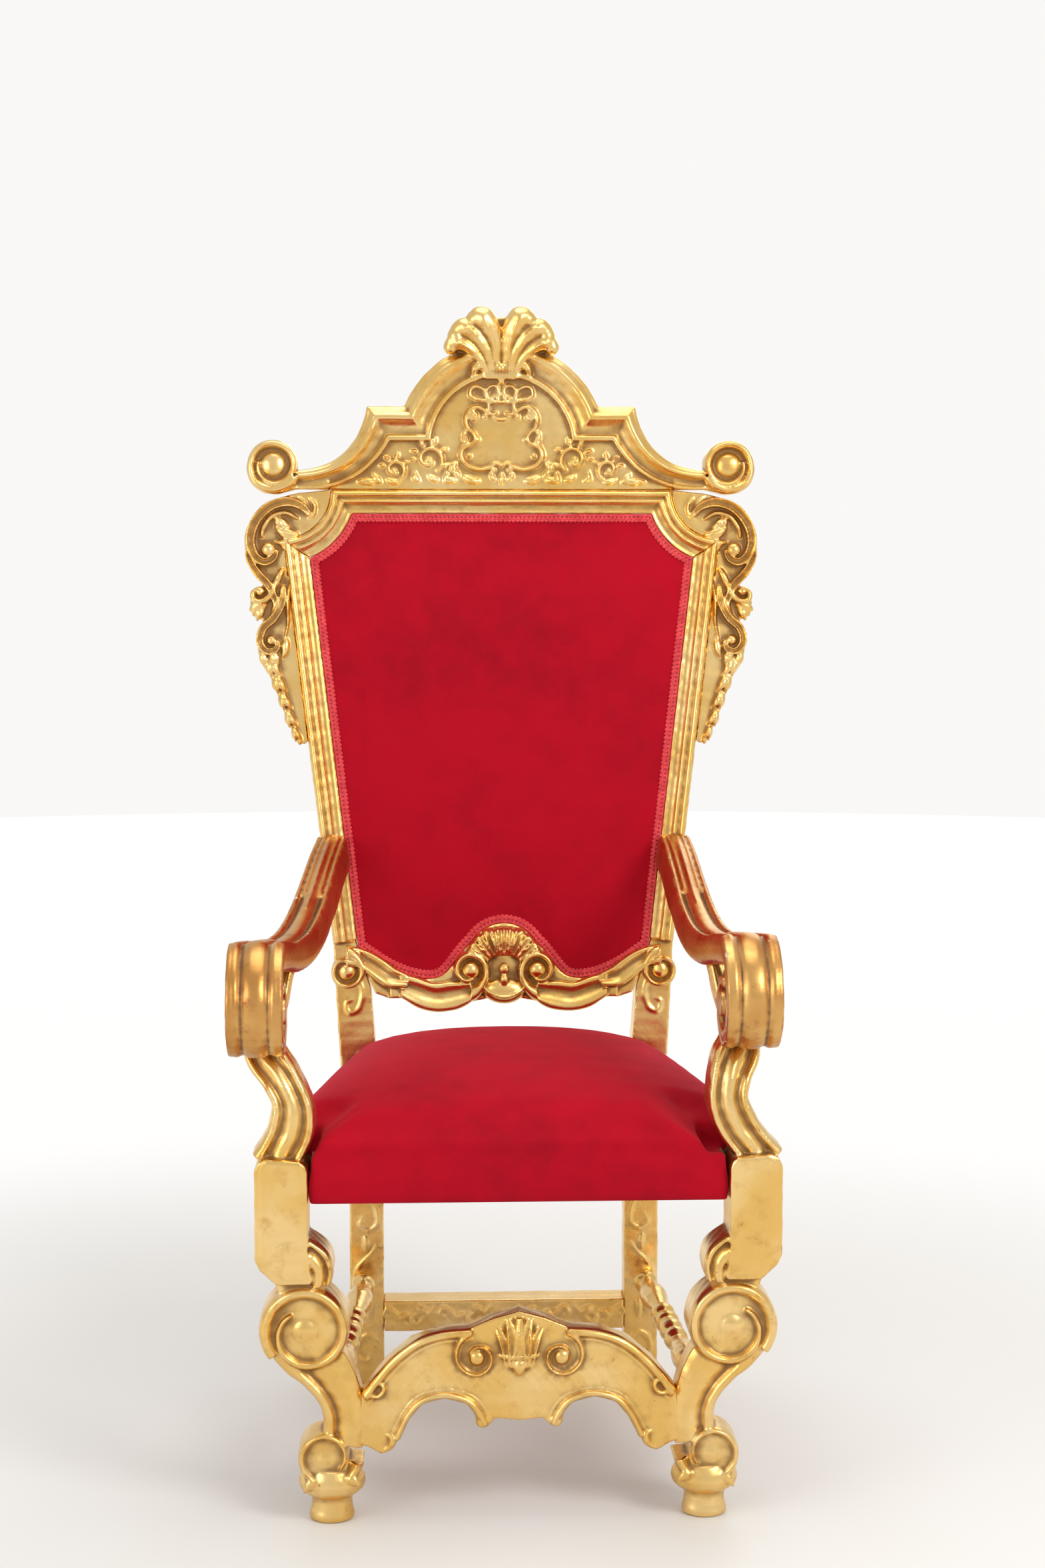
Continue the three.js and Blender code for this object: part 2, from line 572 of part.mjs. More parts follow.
// ---- stretchers ----
const stretcherTop = [[0, 273], [33, 264], [62, 252], [105, 248], [138, 235], [170, 208], [200, 170]];
const stretcherLow = [
  [206, 104], [190, 98], [176, 90], [163, 100], [152, 108], [138, 137], [122, 154], [95, 161], [68, 154], [57, 140],
  [55, 128], [46, 123], [36, 128], [30, 134], [0, 131],
];
function stretcherSide() {
  const lift = (points, by) => points.map(([x, up]) => [x * (1 - by / 300), up - by]);
  const archEdge = [[152, 108], [138, 137], [122, 154], [95, 161], [68, 154], [56, 138], [46, 124]];
  const archRim = [[166, 112], [150, 145], [128, 168], [95, 176], [62, 168], [42, 150], [36, 130]];
  const outside = stretcherTop.slice(2);
  return [
    band([[0, 5], [0, 24], [0.4, 29], [1, 24], [1, 5]], 4, through(outside), through(lift(outside, 17))),
    band([[0, 5], [0, 23], [0.5, 28], [1, 5]], 6, through(archEdge), through(archRim)),
    ...scrollEnd({
      x: 54, up: 214, from: 80, to: -290, radii: [38, 26, 22, 18], slim: [14, 7], back: 5, level: 30, eye: 11, steps: 6,
    }),
    lobe([[14, 205, 22], [14, 240, 26], [24, 258, 22]], [5, 9, 5], 2),
    lobe([[170, 96, 18], [160, 104, 20], [164, 116, 18]], [5, 7, 4], 2),
  ];
}
function makeFrontStretcher() {
  const side = stretcherSide();
  return join([
    plate([...stretcherTop, ...stretcherLow, ...flip(stretcherLow), ...flip(stretcherTop)], -6, 22),
    lobe([[0, 205, 22], [0, 240, 28], [0, 264, 22]], [5, 11, 8], 2),
    bossOf(0, 204, 22, 9, 13, 8, 6),
    ...side,
    ...side.map((form) => shell(mirrored(solid(form)))),
  ]);
}

// A turned side stretcher: rings and vases, the same from both ends.
function makeSideStretcher() {
  const halfTurning = [
    [0, 12], [0.06, 12], [0.08, 17], [0.11, 17], [0.13, 11], [0.22, 19], [0.36, 11], [0.385, 17], [0.42, 11], [0.47, 17],
  ];
  const rear = new THREE.Vector3(206, seatDepth + 5, 161);
  const front = new THREE.Vector3(236, 12, 161);
  const length = rear.distanceTo(front);
  const whole = [...halfTurning, ...halfTurning.map(([s, r]) => [1 - s, r]).reverse()];
  const profile = whole.map(([s, r]) => new THREE.Vector2(r, s * length));
  const ends = [new THREE.Vector2(0, 0), new THREE.Vector2(0, length)];
  const turn = new THREE.Quaternion()
    .setFromUnitVectors(new THREE.Vector3(0, 1, 0), rear.clone().sub(front).normalize());
  return solid(
    new THREE.LatheGeometry([ends[0], ...profile, ends[1]], 8)
      .applyQuaternion(turn).translate(front.x, front.y, front.z),
  );
}

function boxAt(low, high) {
  const size = high.map((value, i) => value - low[i]);
  const middle = high.map((value, i) => (value + low[i]) / 2);
  return new THREE.BoxGeometry(...size).translate(...middle);
}

// ---- seat ----
const blockFace = 266;
const railPlan = (grow) => [
  [-262 - grow, -14 - grow], [262 + grow, -14 - grow], [262 + grow, 37], [316 + grow, 37], [236 + grow, 514],
  [-236 - grow, 514], [-316 - grow, 37], [-262 - grow, 37],
];
function makeSeatFrame() {
  const plan = flat(railPlan(0));
  const hole = [[-232, 22], [-285, 62], [-207, 480], [207, 480], [285, 62], [232, 22]];
  plan.holes.push(new THREE.Path(hole.map(([x, y]) => new THREE.Vector2(x, y))));
  const tall = seat.frame - fit - seat.low - 3;
  return solid(new THREE.ExtrudeGeometry(plan, { depth: tall, bevelEnabled: false }).translate(0, 0, seat.low + 3));
}
// The pad is a crowned block: its plan narrows to the back and its top edge is rounded.
function makeSeatPad() {
  const fall = (share) => Math.max(0, 1 - Math.abs(share) ** 2.4) ** 0.7;
  const [across, along] = [12, 10];
  const geometry = new THREE.BoxGeometry(2, 2, 1, across, along, 2);
  const position = geometry.attributes.position;
  for (let i = 0; i < position.count; i += 1) {
    const [u, v, w] = [position.getX(i), position.getY(i), position.getZ(i) + 0.5];
    const depth = mix(seat.front, seat.back, (v + 1) / 2);
    const wide = mix(340, 246, (v + 1) / 2);
    const crown = fall(u) * fall((v - 0.1) / 1.1);
    const top = seat.edge + (seat.crown - seat.edge) * crown;
    const belly = w > 0.2 && w < 0.8 ? 1 : 0.985;
    position.setXYZ(i, u * wide * belly, depth, mix(seat.low, w > 0.8 ? top : seat.edge - 22, w > 0.8 ? 1 : w * 2));
  }
  const inside = new THREE.ExtrudeGeometry(flat(railPlan(fit)), { depth: seat.frame - 300, bevelEnabled: false });
  return solid(geometry).subtract(solid(inside.translate(0, 0, 300)));
}

// ---- the whole chair ----
const upper = (body) => solid(upright(shell(body), seatDepth, true));
const lower = (body) => solid(upright(shell(body), 0));

const crest = makeCrest();
const topRail = upper(makeTopRail());
const post = clear(upper(makePost()), topRail, 1, 0, -1);
const ornament = clear(clear(upper(makeOrnament()), post, 1, 0, 0), topRail, 1, 0, -1);
const lowerRail = clear(upper(makeLowerRail()), join([post, mirrored(post)].map(shell)), 0, -1, 0);
const braidRing = clear(clear(upper(makeBraid()), lowerRail, 0, 0, 1), lowerRail, 0, -1, 0);
const backPad = clear(clear(upper(makeBackPad()), lowerRail, 0, 0, 1), lowerRail, 0, 1, 0);
const leg = lower(makeLeg());
const frontStretcher = clear(clear(lower(makeFrontStretcher()), leg, -1, 0, 0), mirrored(leg), 1, 0, 0);
const sideStretcher = clear(clear(makeSideStretcher(), leg, 0, 1, 0), post, 0, -1, 0);
const rearStretcher = solid(boxAt([-179 + fit, seatDepth, 80], [179 - fit, seatDepth + postThick, 126]));
const seatFrame = makeSeatFrame();
// The pad makes room for the blocks and, above them, for the racked arm supports.
const span = (a, b, ...rest) => boxAt([Math.min(a, b), rest[0], rest[1]], [Math.max(a, b), rest[2], rest[3]]);
const corners = [1, -1].flatMap((side) => [
  span(side * (blockFace - fit), side * 345, -60, 400, 38, 476),
  span(side * 243 - sway.left * 0.65, side * 345, -60, 476, 30, 640),
]);
const seatPad = corners.reduce((body, corner) => body.subtract(solid(corner)), makeSeatPad());

const chair = new THREE.Group();
chair.position.y = -centreY;

function add(name, body, finish) {
  const geometry = shell(body);
  geometry.computeVertexNormals();
  const mesh = new THREE.Mesh(geometry, new THREE.MeshStandardMaterial(finish));
  mesh.name = name;
  chair.add(mesh);
}
const addPair = (name, body, finish) => {
  add(`${name}_right`, body, finish);
  add(`${name}_left`, mirrored(body), finish);
};

// The arms and front legs differ a little from side to side, so each side is racked and fitted by itself.
function addArmAndLeg(name, turn, toward) {
  const arm = clear(racked(turn(makeArm())), turn(post), 0, -1, 0);
  const standing = clear(clear(racked(turn(leg)), arm, 0, 1, -1), arm, toward, 0, 0);
  add(`arm_${name}`, arm, wornGilt);
  add(`front_leg_${name}`, standing, gilt);
}

add("crest", crest, gilt);
add("top_rail", topRail, gilt);
addPair("post", post, gilt);
addPair("side_ornament", ornament, gilt);
add("lower_back_rail", lowerRail, gilt);
add("back_pad", backPad, velvet);
add("back_braid", braidRing, braid);
addArmAndLeg("right", (body) => body, -1);
addArmAndLeg("left", mirrored, 1);
add("front_stretcher", frontStretcher, gilt);
addPair("side_stretcher", sideStretcher, gilt);
add("rear_stretcher", rearStretcher, gilt);
add("seat_frame", seatFrame, gilt);
add("seat_pad", seatPad, velvet);

export default chair;
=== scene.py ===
import json
import math
import bpy
import bmesh
import numpy as np
from mathutils import Matrix, Vector


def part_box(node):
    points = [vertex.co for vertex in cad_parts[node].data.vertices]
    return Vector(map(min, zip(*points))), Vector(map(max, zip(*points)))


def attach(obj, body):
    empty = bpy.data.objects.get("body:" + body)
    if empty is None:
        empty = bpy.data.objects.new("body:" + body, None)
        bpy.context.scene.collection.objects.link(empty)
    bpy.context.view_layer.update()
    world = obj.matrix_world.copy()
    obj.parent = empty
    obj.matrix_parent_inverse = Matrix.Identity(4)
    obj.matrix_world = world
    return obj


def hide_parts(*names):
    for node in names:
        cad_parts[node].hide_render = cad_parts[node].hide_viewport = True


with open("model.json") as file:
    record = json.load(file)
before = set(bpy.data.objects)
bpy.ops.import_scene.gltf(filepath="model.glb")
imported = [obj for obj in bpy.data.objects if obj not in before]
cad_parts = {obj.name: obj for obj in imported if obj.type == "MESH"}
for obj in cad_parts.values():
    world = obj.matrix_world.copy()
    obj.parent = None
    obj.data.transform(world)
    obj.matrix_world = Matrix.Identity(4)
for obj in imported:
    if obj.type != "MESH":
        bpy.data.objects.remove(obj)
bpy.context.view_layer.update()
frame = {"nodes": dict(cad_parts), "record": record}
mm = 0.001
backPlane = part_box("rear_stretcher")[0].y  # front face of the rear legs
legPlane = frame["record"]["mounts"][0]["pos_m"][1]  # middle of the front legs
rakeFrom = 0.520  # the back leans from here up
rake = math.tan(math.radians(6))
sway = {"from": 0.475, "full": 0.600, "left": 0.019, "lift": 0.003}  # how far the arms stand out of true
coarse = 1.0  # coarser carving while trying things


# Lines: each gives points for an array of places from 0 to 1

def through(points):
    p = np.array(points, float)

    def at(t):
        t = np.clip(np.asarray(t, float), 0, 1) * (len(p) - 1)
        i = np.minimum(t.astype(int), len(p) - 2)
        w = (t - i)[:, None]
        a, b, c, d = p[np.maximum(i - 1, 0)], p[i], p[i + 1], p[np.minimum(i + 2, len(p) - 1)]
        return 0.5 * (2 * b + (c - a) * w + (2 * a - 5 * b + 4 * c - d) * w**2 + (3 * b - a - 3 * c + d) * w**3)
    return at


def whorl(x, up, start, end, radii):
    def at(t):
        t = np.clip(np.asarray(t, float), 0, 1)
        angle = np.radians(start + (end - start) * t)
        radius = np.interp(t * (len(radii) - 1), range(len(radii)), radii)
        return np.stack([x + radius * np.cos(angle), up + radius * np.sin(angle)], 1)
    return at


def sideways(line, t):  # unit step to the right of the line, in the plane of the carving
    go = line(np.minimum(t + 0.004, 1)) - line(np.maximum(t - 0.004, 0))
    size = np.hypot(go[:, 0], go[:, 1]) + 1e-9
    return np.stack([go[:, 1] / size, -go[:, 0] / size], 1)


def spread(values, t):
    return np.interp(t, np.linspace(0, 1, len(values)), values)


# Forms, drawn face on in millimetres as x, up and ahead

def drawnForm(bm, section, rows, place):
    ring = np.array(section, float)
    made = bmesh.ops.create_grid(bm, x_segments=len(ring), y_segments=rows, size=1)["verts"]
    co = np.array([v.co for v in made])
    corner = np.rint((co[:, 0] + 1) / 2 * len(ring)).astype(int) % len(ring)
    for vert, point in zip(made, place(*ring[corner].T, (co[:, 1] + 1) / 2)):
        vert.co = point
    bmesh.ops.remove_doubles(bm, verts=made, dist=1e-3)
    rim = {e for v in made if v.is_valid for e in v.link_edges if e.is_boundary}
    bmesh.ops.holes_fill(bm, edges=list(rim), sides=0)


sections = {
    "bead": [(math.cos(math.radians(a)), math.sin(math.radians(a))) for a in range(0, 181, 18)] + [(-1, -0.9), (1, -0.9)],
    "ridge": [(1, 0), (0.6, 0.3), (0.25, 0.75), (0, 1), (-0.25, 0.75), (-0.6, 0.3), (-1, 0), (-1, -0.9), (1, -0.9)],
    "gouge": [(1, 0.3), (0.94, 0.85), (0.78, 1), (0.5, 0.66), (0, 0.42), (-0.5, 0.66), (-0.78, 1), (-0.94, 0.85), (-1, 0.3),
              (-1, -0.9), (1, -0.9)],
    "veined": [(1, 0), (0.85, 0.5), (0.55, 0.72), (0.3, 0.66), (0.12, 0.8), (0, 1), (-0.12, 0.8), (-0.3, 0.66), (-0.55, 0.72),
               (-0.85, 0.5), (-1, 0), (-1, -0.9), (1, -0.9)],
}


def stroke(bm, points, widths, heights, kind="bead", rows=None):
    line = points if callable(points) else through(points)
    rows = rows or (36 if callable(points) else 7 * (len(points) - 1))

    def place(u, v, t):
        at = line(t)
        flat = at[:, :2] + sideways(line, t) * (u * spread(widths, t) / 2)[:, None]
        base = at[:, 2] if at.shape[1] > 2 else 0
        return np.column_stack([flat, base + v * spread(heights, t)])
    drawnForm(bm, sections[kind], rows, place)


def band(bm, section, rows, edgeA, edgeB, rise=(1, 1)):
    def place(u, v, t):
        flat = edgeA(t) * (1 - u[:, None]) + edgeB(t) * u[:, None]
        return np.column_stack([flat, np.where(v > 0, v * spread(rise, t), v)])
    drawnForm(bm, section, rows, place)


def ball(bm, x, up, ahead, rx, ry, rz):
    size = Matrix.Translation((x, up, ahead)) @ Matrix.Diagonal((rx, ry, rz, 1))
    bmesh.ops.create_uvsphere(bm, u_segments=24, v_segments=14, radius=1, matrix=size)


def disc(bm, x, up, radius, back, front):
    at = Matrix.Translation((x, up, (back + front) / 2))
    bmesh.ops.create_cone(bm, cap_ends=True, segments=48, radius1=radius, radius2=radius, depth=front - back, matrix=at)


def plate(bm, points, back, front):
    face = bm.faces.new([bm.verts.new((x, up, back)) for x, up in points])
    made = bmesh.ops.extrude_face_region(bm, geom=[face])["geom"]
    verts = [v for v in made if isinstance(v, bmesh.types.BMVert)]
    bmesh.ops.translate(bm, verts=verts, vec=(0, 0, front - back))
    rim = {e for v in verts for f in v.link_faces for e in f.edges if e.is_boundary}
    bmesh.ops.holes_fill(bm, edges=list(rim), sides=0)


def bothSides(bm, build):  # builds a form on the right and mirrors it to the left
    start = set(bm.verts)
    build(bm)
    mine = [v for v in bm.verts if v not in start]
    faces = list({f for v in mine for f in v.link_faces})
    edges = list({e for v in mine for e in v.link_edges})
    copy = bmesh.ops.duplicate(bm, geom=mine + edges + faces)["geom"]
    bmesh.ops.scale(bm, vec=(-1, 1, 1), verts=[v for v in copy if isinstance(v, bmesh.types.BMVert)])
    bmesh.ops.reverse_faces(bm, faces=[f for f in copy if isinstance(f, bmesh.types.BMFace)])


def leaf(bm, x, up, ahead, angle, length, width, bend=0, height=5, kind="veined"):
    turn = np.radians(angle + bend * np.array([-0.5, -0.17, 0.17, 0.5]))
    steps = np.stack([np.cos(turn), np.sin(turn)], 1) * length / 4
    path = np.vstack([[x, up], np.cumsum(steps, 0) + (x, up)])
    rise = ahead + height * np.array([0, 0.35, 0.5, 0.4, 0])
    stroke(bm, np.column_stack([path, rise]), [width * 0.35, width * 0.9, width, width * 0.6, 0.6], [height * 0.5, height, height, height * 0.7, 0.6], kind)


# Mouldings that turn corners. A leg gives points at places along it, set in by an offset

def straight(a, b):
    a, b = np.array(a, float), np.array(b, float)
    go = (b - a) / np.hypot(*(b - a))
    return lambda offset, t: a + np.outer(t, b - a) + np.array([go[1], -go[0]]) * offset


def bend(x, up, radius, start, end):
    def at(offset, t):
        angle = np.radians(start + (end - start) * np.asarray(t, float))
        reach = radius + math.copysign(offset, end - start) * (1 if offset >= 0 else -1)
        return np.stack([x + reach * np.cos(angle), up + reach * np.sin(angle)], 1)
    return at


def swept(a, b, c, d, slimA=1.0, slimB=1.0):
    a, b, c, d = (np.array(p, float) for p in (a, b, c, d))

    def at(offset, t):
        t = np.asarray(t, float)[:, None]
        s = 1 - t
        here = s**3 * a + 3 * s * s * t * b + 3 * s * t * t * c + t**3 * d
        go = s * s * (b - a) + 2 * s * t * (c - b) + t * t * (d - c)
        reach = offset * (slimA + (slimB - slimA) * t) / np.hypot(go[:, :1], go[:, 1:])
        return here + np.column_stack([go[:, 1], -go[:, 0]]) * reach
    return at


def mitre(before, after, offset):
    s, t = 1.0, 0.0
    for _ in range(12):
        a, b = before(offset, np.array([s, s + 1e-4])), after(offset, np.array([t, t + 1e-4]))
        da, db = (a[1] - a[0]) / 1e-4, (b[1] - b[0]) / 1e-4
        turn = -da[0] * db[1] + db[0] * da[1]
        if abs(turn) < 0.05 * np.hypot(*da) * np.hypot(*db):
            break
        e = b[0] - a[0]
        s += (-e[0] * db[1] + db[0] * e[1]) / turn
        t += (da[0] * e[1] - da[1] * e[0]) / turn
    return s, t


def moulding(bm, section, legs, rows, before=None, after=None):
    marks = np.cumsum([0, *rows])
    meets = {}
    for offset, _ in section:
        first = mitre(before, legs[0], offset) if before else (0, 0)
        last = mitre(legs[-1], after, offset) if after else (1, 1)
        meets[round(offset, 3)] = [first, *[mitre(a, b, offset) for a, b in zip(legs, legs[1:])], last]

    def place(u, v, t):
        along = np.rint(t * marks[-1])
        k = np.clip(np.searchsorted(marks, along) - 1, 0, len(legs) - 1)
        out = np.zeros((len(u), 3))
        for offset, ends in meets.items():
            for j, leg in enumerate(legs):
                mine = (np.round(u, 3) == offset) & (k == j)
                start = ends[j][1]
                share = start + (ends[j + 1][0] - start) * (along[mine] - marks[j]) / rows[j]
                out[mine] = np.column_stack([leg(offset, share), v[mine]])
        return out
    drawnForm(bm, section, int(marks[-1]), place)


def outlineOf(legs, rows, offset, closed=True):
    count = len(legs)
    meets = [mitre(leg, legs[(i + 1) % count], offset) for i, leg in enumerate(legs)]
    if not closed:
        meets[-1] = (1, 0)
    points = []
    for i, leg in enumerate(legs):
        start = meets[i - 1][1]
        places = start + (meets[i][0] - start) * np.arange(rows[i]) / rows[i]
        points += [tuple(p) for p in leg(offset, places)]
    return points


# From drawn forms to finished carving

def settle(obj):
    made = bpy.data.meshes.new_from_object(obj.evaluated_get(bpy.context.evaluated_depsgraph_get()))
    obj.modifiers.clear()
    obj.data = made


def readPoints(mesh):
    co = np.empty(len(mesh.vertices) * 3)
    mesh.vertices.foreach_get("co", co)
    return co.reshape(-1, 3)


def upright(co, plane, lean):
    x, up, ahead = co.T * mm
    y = plane - ahead
    if lean:
        y = y + np.maximum(0, up - rakeFrom) * rake
    return np.stack([x, y, up], 1)


def racked(co):  # the arms stand a little to the left of true, and a little high on the right
    x, y, z = co.T
    high = np.clip((z - sway["from"]) / (sway["full"] - sway["from"]), 0, 1)
    fore = np.clip((backPlane - y) / 0.425, 0, 1)
    return np.stack([x - sway["left"] * high * fore, y, z + np.sign(x) * sway["lift"] * high * fore], 1)


def averaged(points, pairs, passes):
    a, b = pairs.T
    count = np.bincount(a, minlength=len(points)) + np.bincount(b, minlength=len(points))
    for _ in range(passes):
        total = [np.bincount(a, points[b, k], len(points)) + np.bincount(b, points[a, k], len(points)) for k in range(3)]
        points = np.stack(total, 1) / np.maximum(count, 1)[:, None]
    return points


def markRelief(mesh, voxel):
    pairs = np.empty(len(mesh.edges) * 2, int)
    mesh.edges.foreach_get("vertices", pairs)
    pairs = pairs.reshape(-1, 2)
    normals = np.empty(len(mesh.vertices) * 3)
    mesh.vertices.foreach_get("normal", normals)
    normals = normals.reshape(-1, 3)
    points = readPoints(mesh)
    for name, reach in (("crease", 3.0), ("hollow", 8.0)):  # how far each looks, in millimetres
        passes = max(2, round((reach / voxel) ** 2 * 1.4))
        depth = ((averaged(points, pairs, passes) - points) * normals).sum(1)
        mesh.attributes.new(name, "FLOAT", "POINT").data.foreach_set("value", depth.astype(np.float32))


def newPiece(name, bm):
    mesh = bpy.data.meshes.new(name)
    bm.to_mesh(mesh)
    bm.free()
    obj = bpy.data.objects.new(name, mesh)
    bpy.context.scene.collection.objects.link(obj)
    return obj


def carve(names, bm, place, voxel=1.8, keep=0.6, soften=2, material=None):
    voxel *= coarse
    obj = newPiece(next(iter(names)), bm)
    fuse = obj.modifiers.new("fuse", "REMESH")
    fuse.mode, fuse.voxel_size = "VOXEL", voxel
    settle(obj)
    pairs = np.empty(len(obj.data.edges) * 2, int)
    obj.data.edges.foreach_get("vertices", pairs)
    points = readPoints(obj.data)
    x, up, ahead = points.T
    chisel = 0.2 * np.sin(x * 0.11 + 1.3 * np.sin(up * 0.07)) + 0.14 * np.sin(up * 0.19 + x * 0.05) + 0.1 * np.sin(ahead * 0.3 + up * 0.37)
    normals = np.empty(len(points) * 3)
    obj.data.vertices.foreach_get("normal", normals)
    points = averaged(points, pairs.reshape(-1, 2), soften) + normals.reshape(-1, 3) * chisel[:, None]
    obj.data.vertices.foreach_set("co", points.ravel())
    markRelief(obj.data, voxel)
    thin = obj.modifiers.new("thin", "DECIMATE")
    thin.ratio = keep
    settle(obj)
    for name, node in names.items():  # a second name is the same carving on the left
        piece = obj if name == obj.name else bpy.data.objects.new(name, obj.data.copy())
        if piece is not obj:
            bpy.context.scene.collection.objects.link(piece)
    for side, (name, node) in zip((1, -1), names.items()):
        piece = bpy.data.objects[name]
        points = readPoints(piece.data) * (side, 1, 1)
        piece.data.vertices.foreach_set("co", place(points).ravel())
        if side < 0:
            piece.data.flip_normals()
        finishPiece(piece, node, material or gilding)
    print(name, len(obj.data.polygons), "faces")


def finishPiece(obj, node, material):
    obj.data.name = obj.name
    obj.data.materials.clear()
    obj.data.materials.append(material)
    obj.data.polygons.foreach_set("use_smooth", np.ones(len(obj.data.polygons), bool))
    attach(obj, "root")
    if node:
        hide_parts(node)


onBack = lambda co: upright(co, backPlane, True)
onFront = lambda co: upright(co, legPlane, False)


# Finishes. A wire wraps a shader socket, so that sums are written as sums

class Wire:
    def __init__(self, finish, socket):
        self.finish, self.socket = finish, socket

    def sum(self, operation, a, b):
        return self.finish.node("ShaderNodeMath", {"operation": operation}, {0: a, 1: b})

    def __add__(self, other):
        return self.sum("ADD", self, other)

    def __sub__(self, other):
        return self.sum("SUBTRACT", self, other)

    def __rsub__(self, other):
        return self.sum("SUBTRACT", other, self)

    def __mul__(self, other):
        return self.sum("MULTIPLY", self, other)

    __radd__, __rmul__ = __add__, __mul__


class Finish:
    def __init__(self, name):
        self.material = bpy.data.materials.new(name)
        self.material.use_nodes = True
        self.tree = self.material.node_tree
        self.surface = self.tree.nodes["Principled BSDF"]
        self.place = self.node("ShaderNodeTexCoord", {}, {}, "Object")

    def node(self, kind, settings, sockets, out=0):
        made = self.tree.nodes.new(kind)
        for key, value in settings.items():
            setattr(made, key, value)
        self.feed(made, sockets)
        return Wire(self, made.outputs[out])

    def feed(self, made, sockets):
        for key, value in sockets.items():
            if isinstance(value, Wire):
                self.tree.links.new(value.socket, made.inputs[key])
            else:
                made.inputs[key].default_value = value

    def noise(self, scale, detail=3.0, rough=0.55, place=None):
        return self.node("ShaderNodeTexNoise", {}, {"Vector": place or self.place, "Scale": scale, "Detail": detail, "Roughness": rough})

    def ranged(self, value, low, high, outLow=0.0, outHigh=1.0):
        settings = {"interpolation_type": "SMOOTHSTEP"}
        return self.node("ShaderNodeMapRange", settings, {"Value": value, 1: low, 2: high, 3: outLow, 4: outHigh})

    def mark(self, name):
        return self.node("ShaderNodeAttribute", {"attribute_name": name}, {}, "Fac")

    def mixed(self, share, a, b):
        made = self.tree.nodes.new("ShaderNodeMix")
        made.data_type = "RGBA"
        colours = {key: value if isinstance(value, Wire) else (*value, 1) for key, value in ((6, a), (7, b))}
        self.feed(made, {0: share, **colours})
        return Wire(self, made.outputs[2])

    def bumped(self, height, strength, distance, under=None):
        sockets = {"Height": height, "Strength": strength, "Distance": distance}
        return self.node("ShaderNodeBump", {}, {**sockets, "Normal": under} if under else sockets)


# The brown colour darkens hollows and creases, partly as patina and partly as painted shade; it also colours scattered
# dark specks.
goldLook = {
    "leaf": (0.80, 0.50, 0.145), "paleLeaf": (0.88, 0.62, 0.26), "deepLeaf": (0.60, 0.31, 0.065),
    "shadeAndGrimeBrown": (0.20, 0.085, 0.018), "bole": (0.42, 0.12, 0.035), "gesso": (0.62, 0.55, 0.43),
    "roughness": 0.27,
}
wornLook = {
    "leaf": (0.56, 0.27, 0.075), "paleLeaf": (0.72, 0.42, 0.14), "deepLeaf": (0.36, 0.13, 0.035),
    "shadeAndGrimeBrown": (0.11, 0.045, 0.015), "bole": (0.38, 0.105, 0.03), "gesso": (0.60, 0.52, 0.42),
    "roughness": 0.33,
}


# The last argument sets how strongly hollows and creases darken, as patina and as painted shade.
def gildedFinish(name, look, wear, chips, patinaAndShadeAmount):
    f = Finish(name)
    cloud = f.noise(9.0, 3.0)
    patch = f.noise(46.0, 6.0, 0.62)
    speck = f.noise(230.0, 4.0, 0.6)
    chip = f.noise(31.0, 5.0, 0.6)
    hollow, crease = f.mark("hollow"), f.mark("crease")
    leafTone = f.mixed(f.ranged(cloud, 0.36, 0.66), look["leaf"], look["paleLeaf"])
    leafTone = f.mixed(f.ranged(patch, 0.5, 0.78) * 0.55, leafTone, look["deepLeaf"])
    # Painted shade together with patina: the leaf darkens towards the brown in hollows and creases.
    patinaAndShade = f.ranged(hollow + (patch - 0.5) * 1.2, 0.12, 1.9) * patinaAndShadeAmount
    patinaAndShade = f.node("ShaderNodeMath", {"operation": "MAXIMUM"}, {0: patinaAndShade, 1: f.ranged(crease + (speck - 0.5) * 0.5, 0.16, 0.7) * patinaAndShadeAmount})
    rubbed = f.ranged(0 - crease + (patch - 0.5) * 1.6, 0.62 - wear, 1.05 - wear * 0.6)
    bare = f.ranged(0 - crease + (chip - 0.5) * 3.4, 1.32 - chips, 1.4 - chips)
    spots = f.ranged(speck + (patch - 0.5) * 0.6, 0.71, 0.76) * 0.6
    tone = f.mixed(patinaAndShade, leafTone, look["shadeAndGrimeBrown"])
    tone = f.mixed(rubbed * 0.8, tone, look["bole"])
    tone = f.mixed(spots, tone, look["shadeAndGrimeBrown"])
    tone = f.mixed(bare, tone, look["gesso"])
    dull = f.node("ShaderNodeMath", {"operation": "MAXIMUM"}, {0: patinaAndShade * 0.55 + rubbed * 0.5 + spots * 0.5, 1: bare})
    metallic = f.node("ShaderNodeMath", {"operation": "SUBTRACT", "use_clamp": True}, {0: 1.0, 1: dull})
    roughness = look["roughness"] + (patch - 0.5) * 0.25 + dull * 0.3
    relief = f.bumped(f.noise(120.0, 3.0), 0.22, 0.0007)
    relief = f.bumped(patch, 0.3, 0.0012, relief)
    relief = f.bumped(bare, 0.5, -0.0006, relief)
    f.feed(f.surface, {"Base Color": tone, "Metallic": metallic, "Roughness": roughness, "Normal": relief})
    return f.material


velvetLook = {"lit": (0.40, 0.0, 0.011), "deep": (0.26, 0.0, 0.008), "sheen": (1.0, 0.16, 0.22)}


def velvetFinish(name, look):
    f = Finish(name)
    broad = f.noise(5.5, 3.0)
    brushed = f.noise(26.0, 4.0, 0.6)
    pile = f.noise(1500.0, 2.0)
    tone = f.mixed(f.ranged(broad * 0.6 + brushed * 0.4 + (pile - 0.5) * 0.6, 0.2, 0.62), look["deep"], look["lit"])
    normal = f.bumped(pile, 0.35, 0.0006)
    normal = f.bumped(brushed, 0.16, 0.002, normal)
    sheen = {"Sheen Weight": 0.28, "Sheen Roughness": 0.38, "Sheen Tint": (*look["sheen"], 1)}
    f.feed(f.surface, {"Base Color": tone, "Roughness": 0.85, "Specular IOR Level": 0.15, "Normal": normal, **sheen})
    return f.material


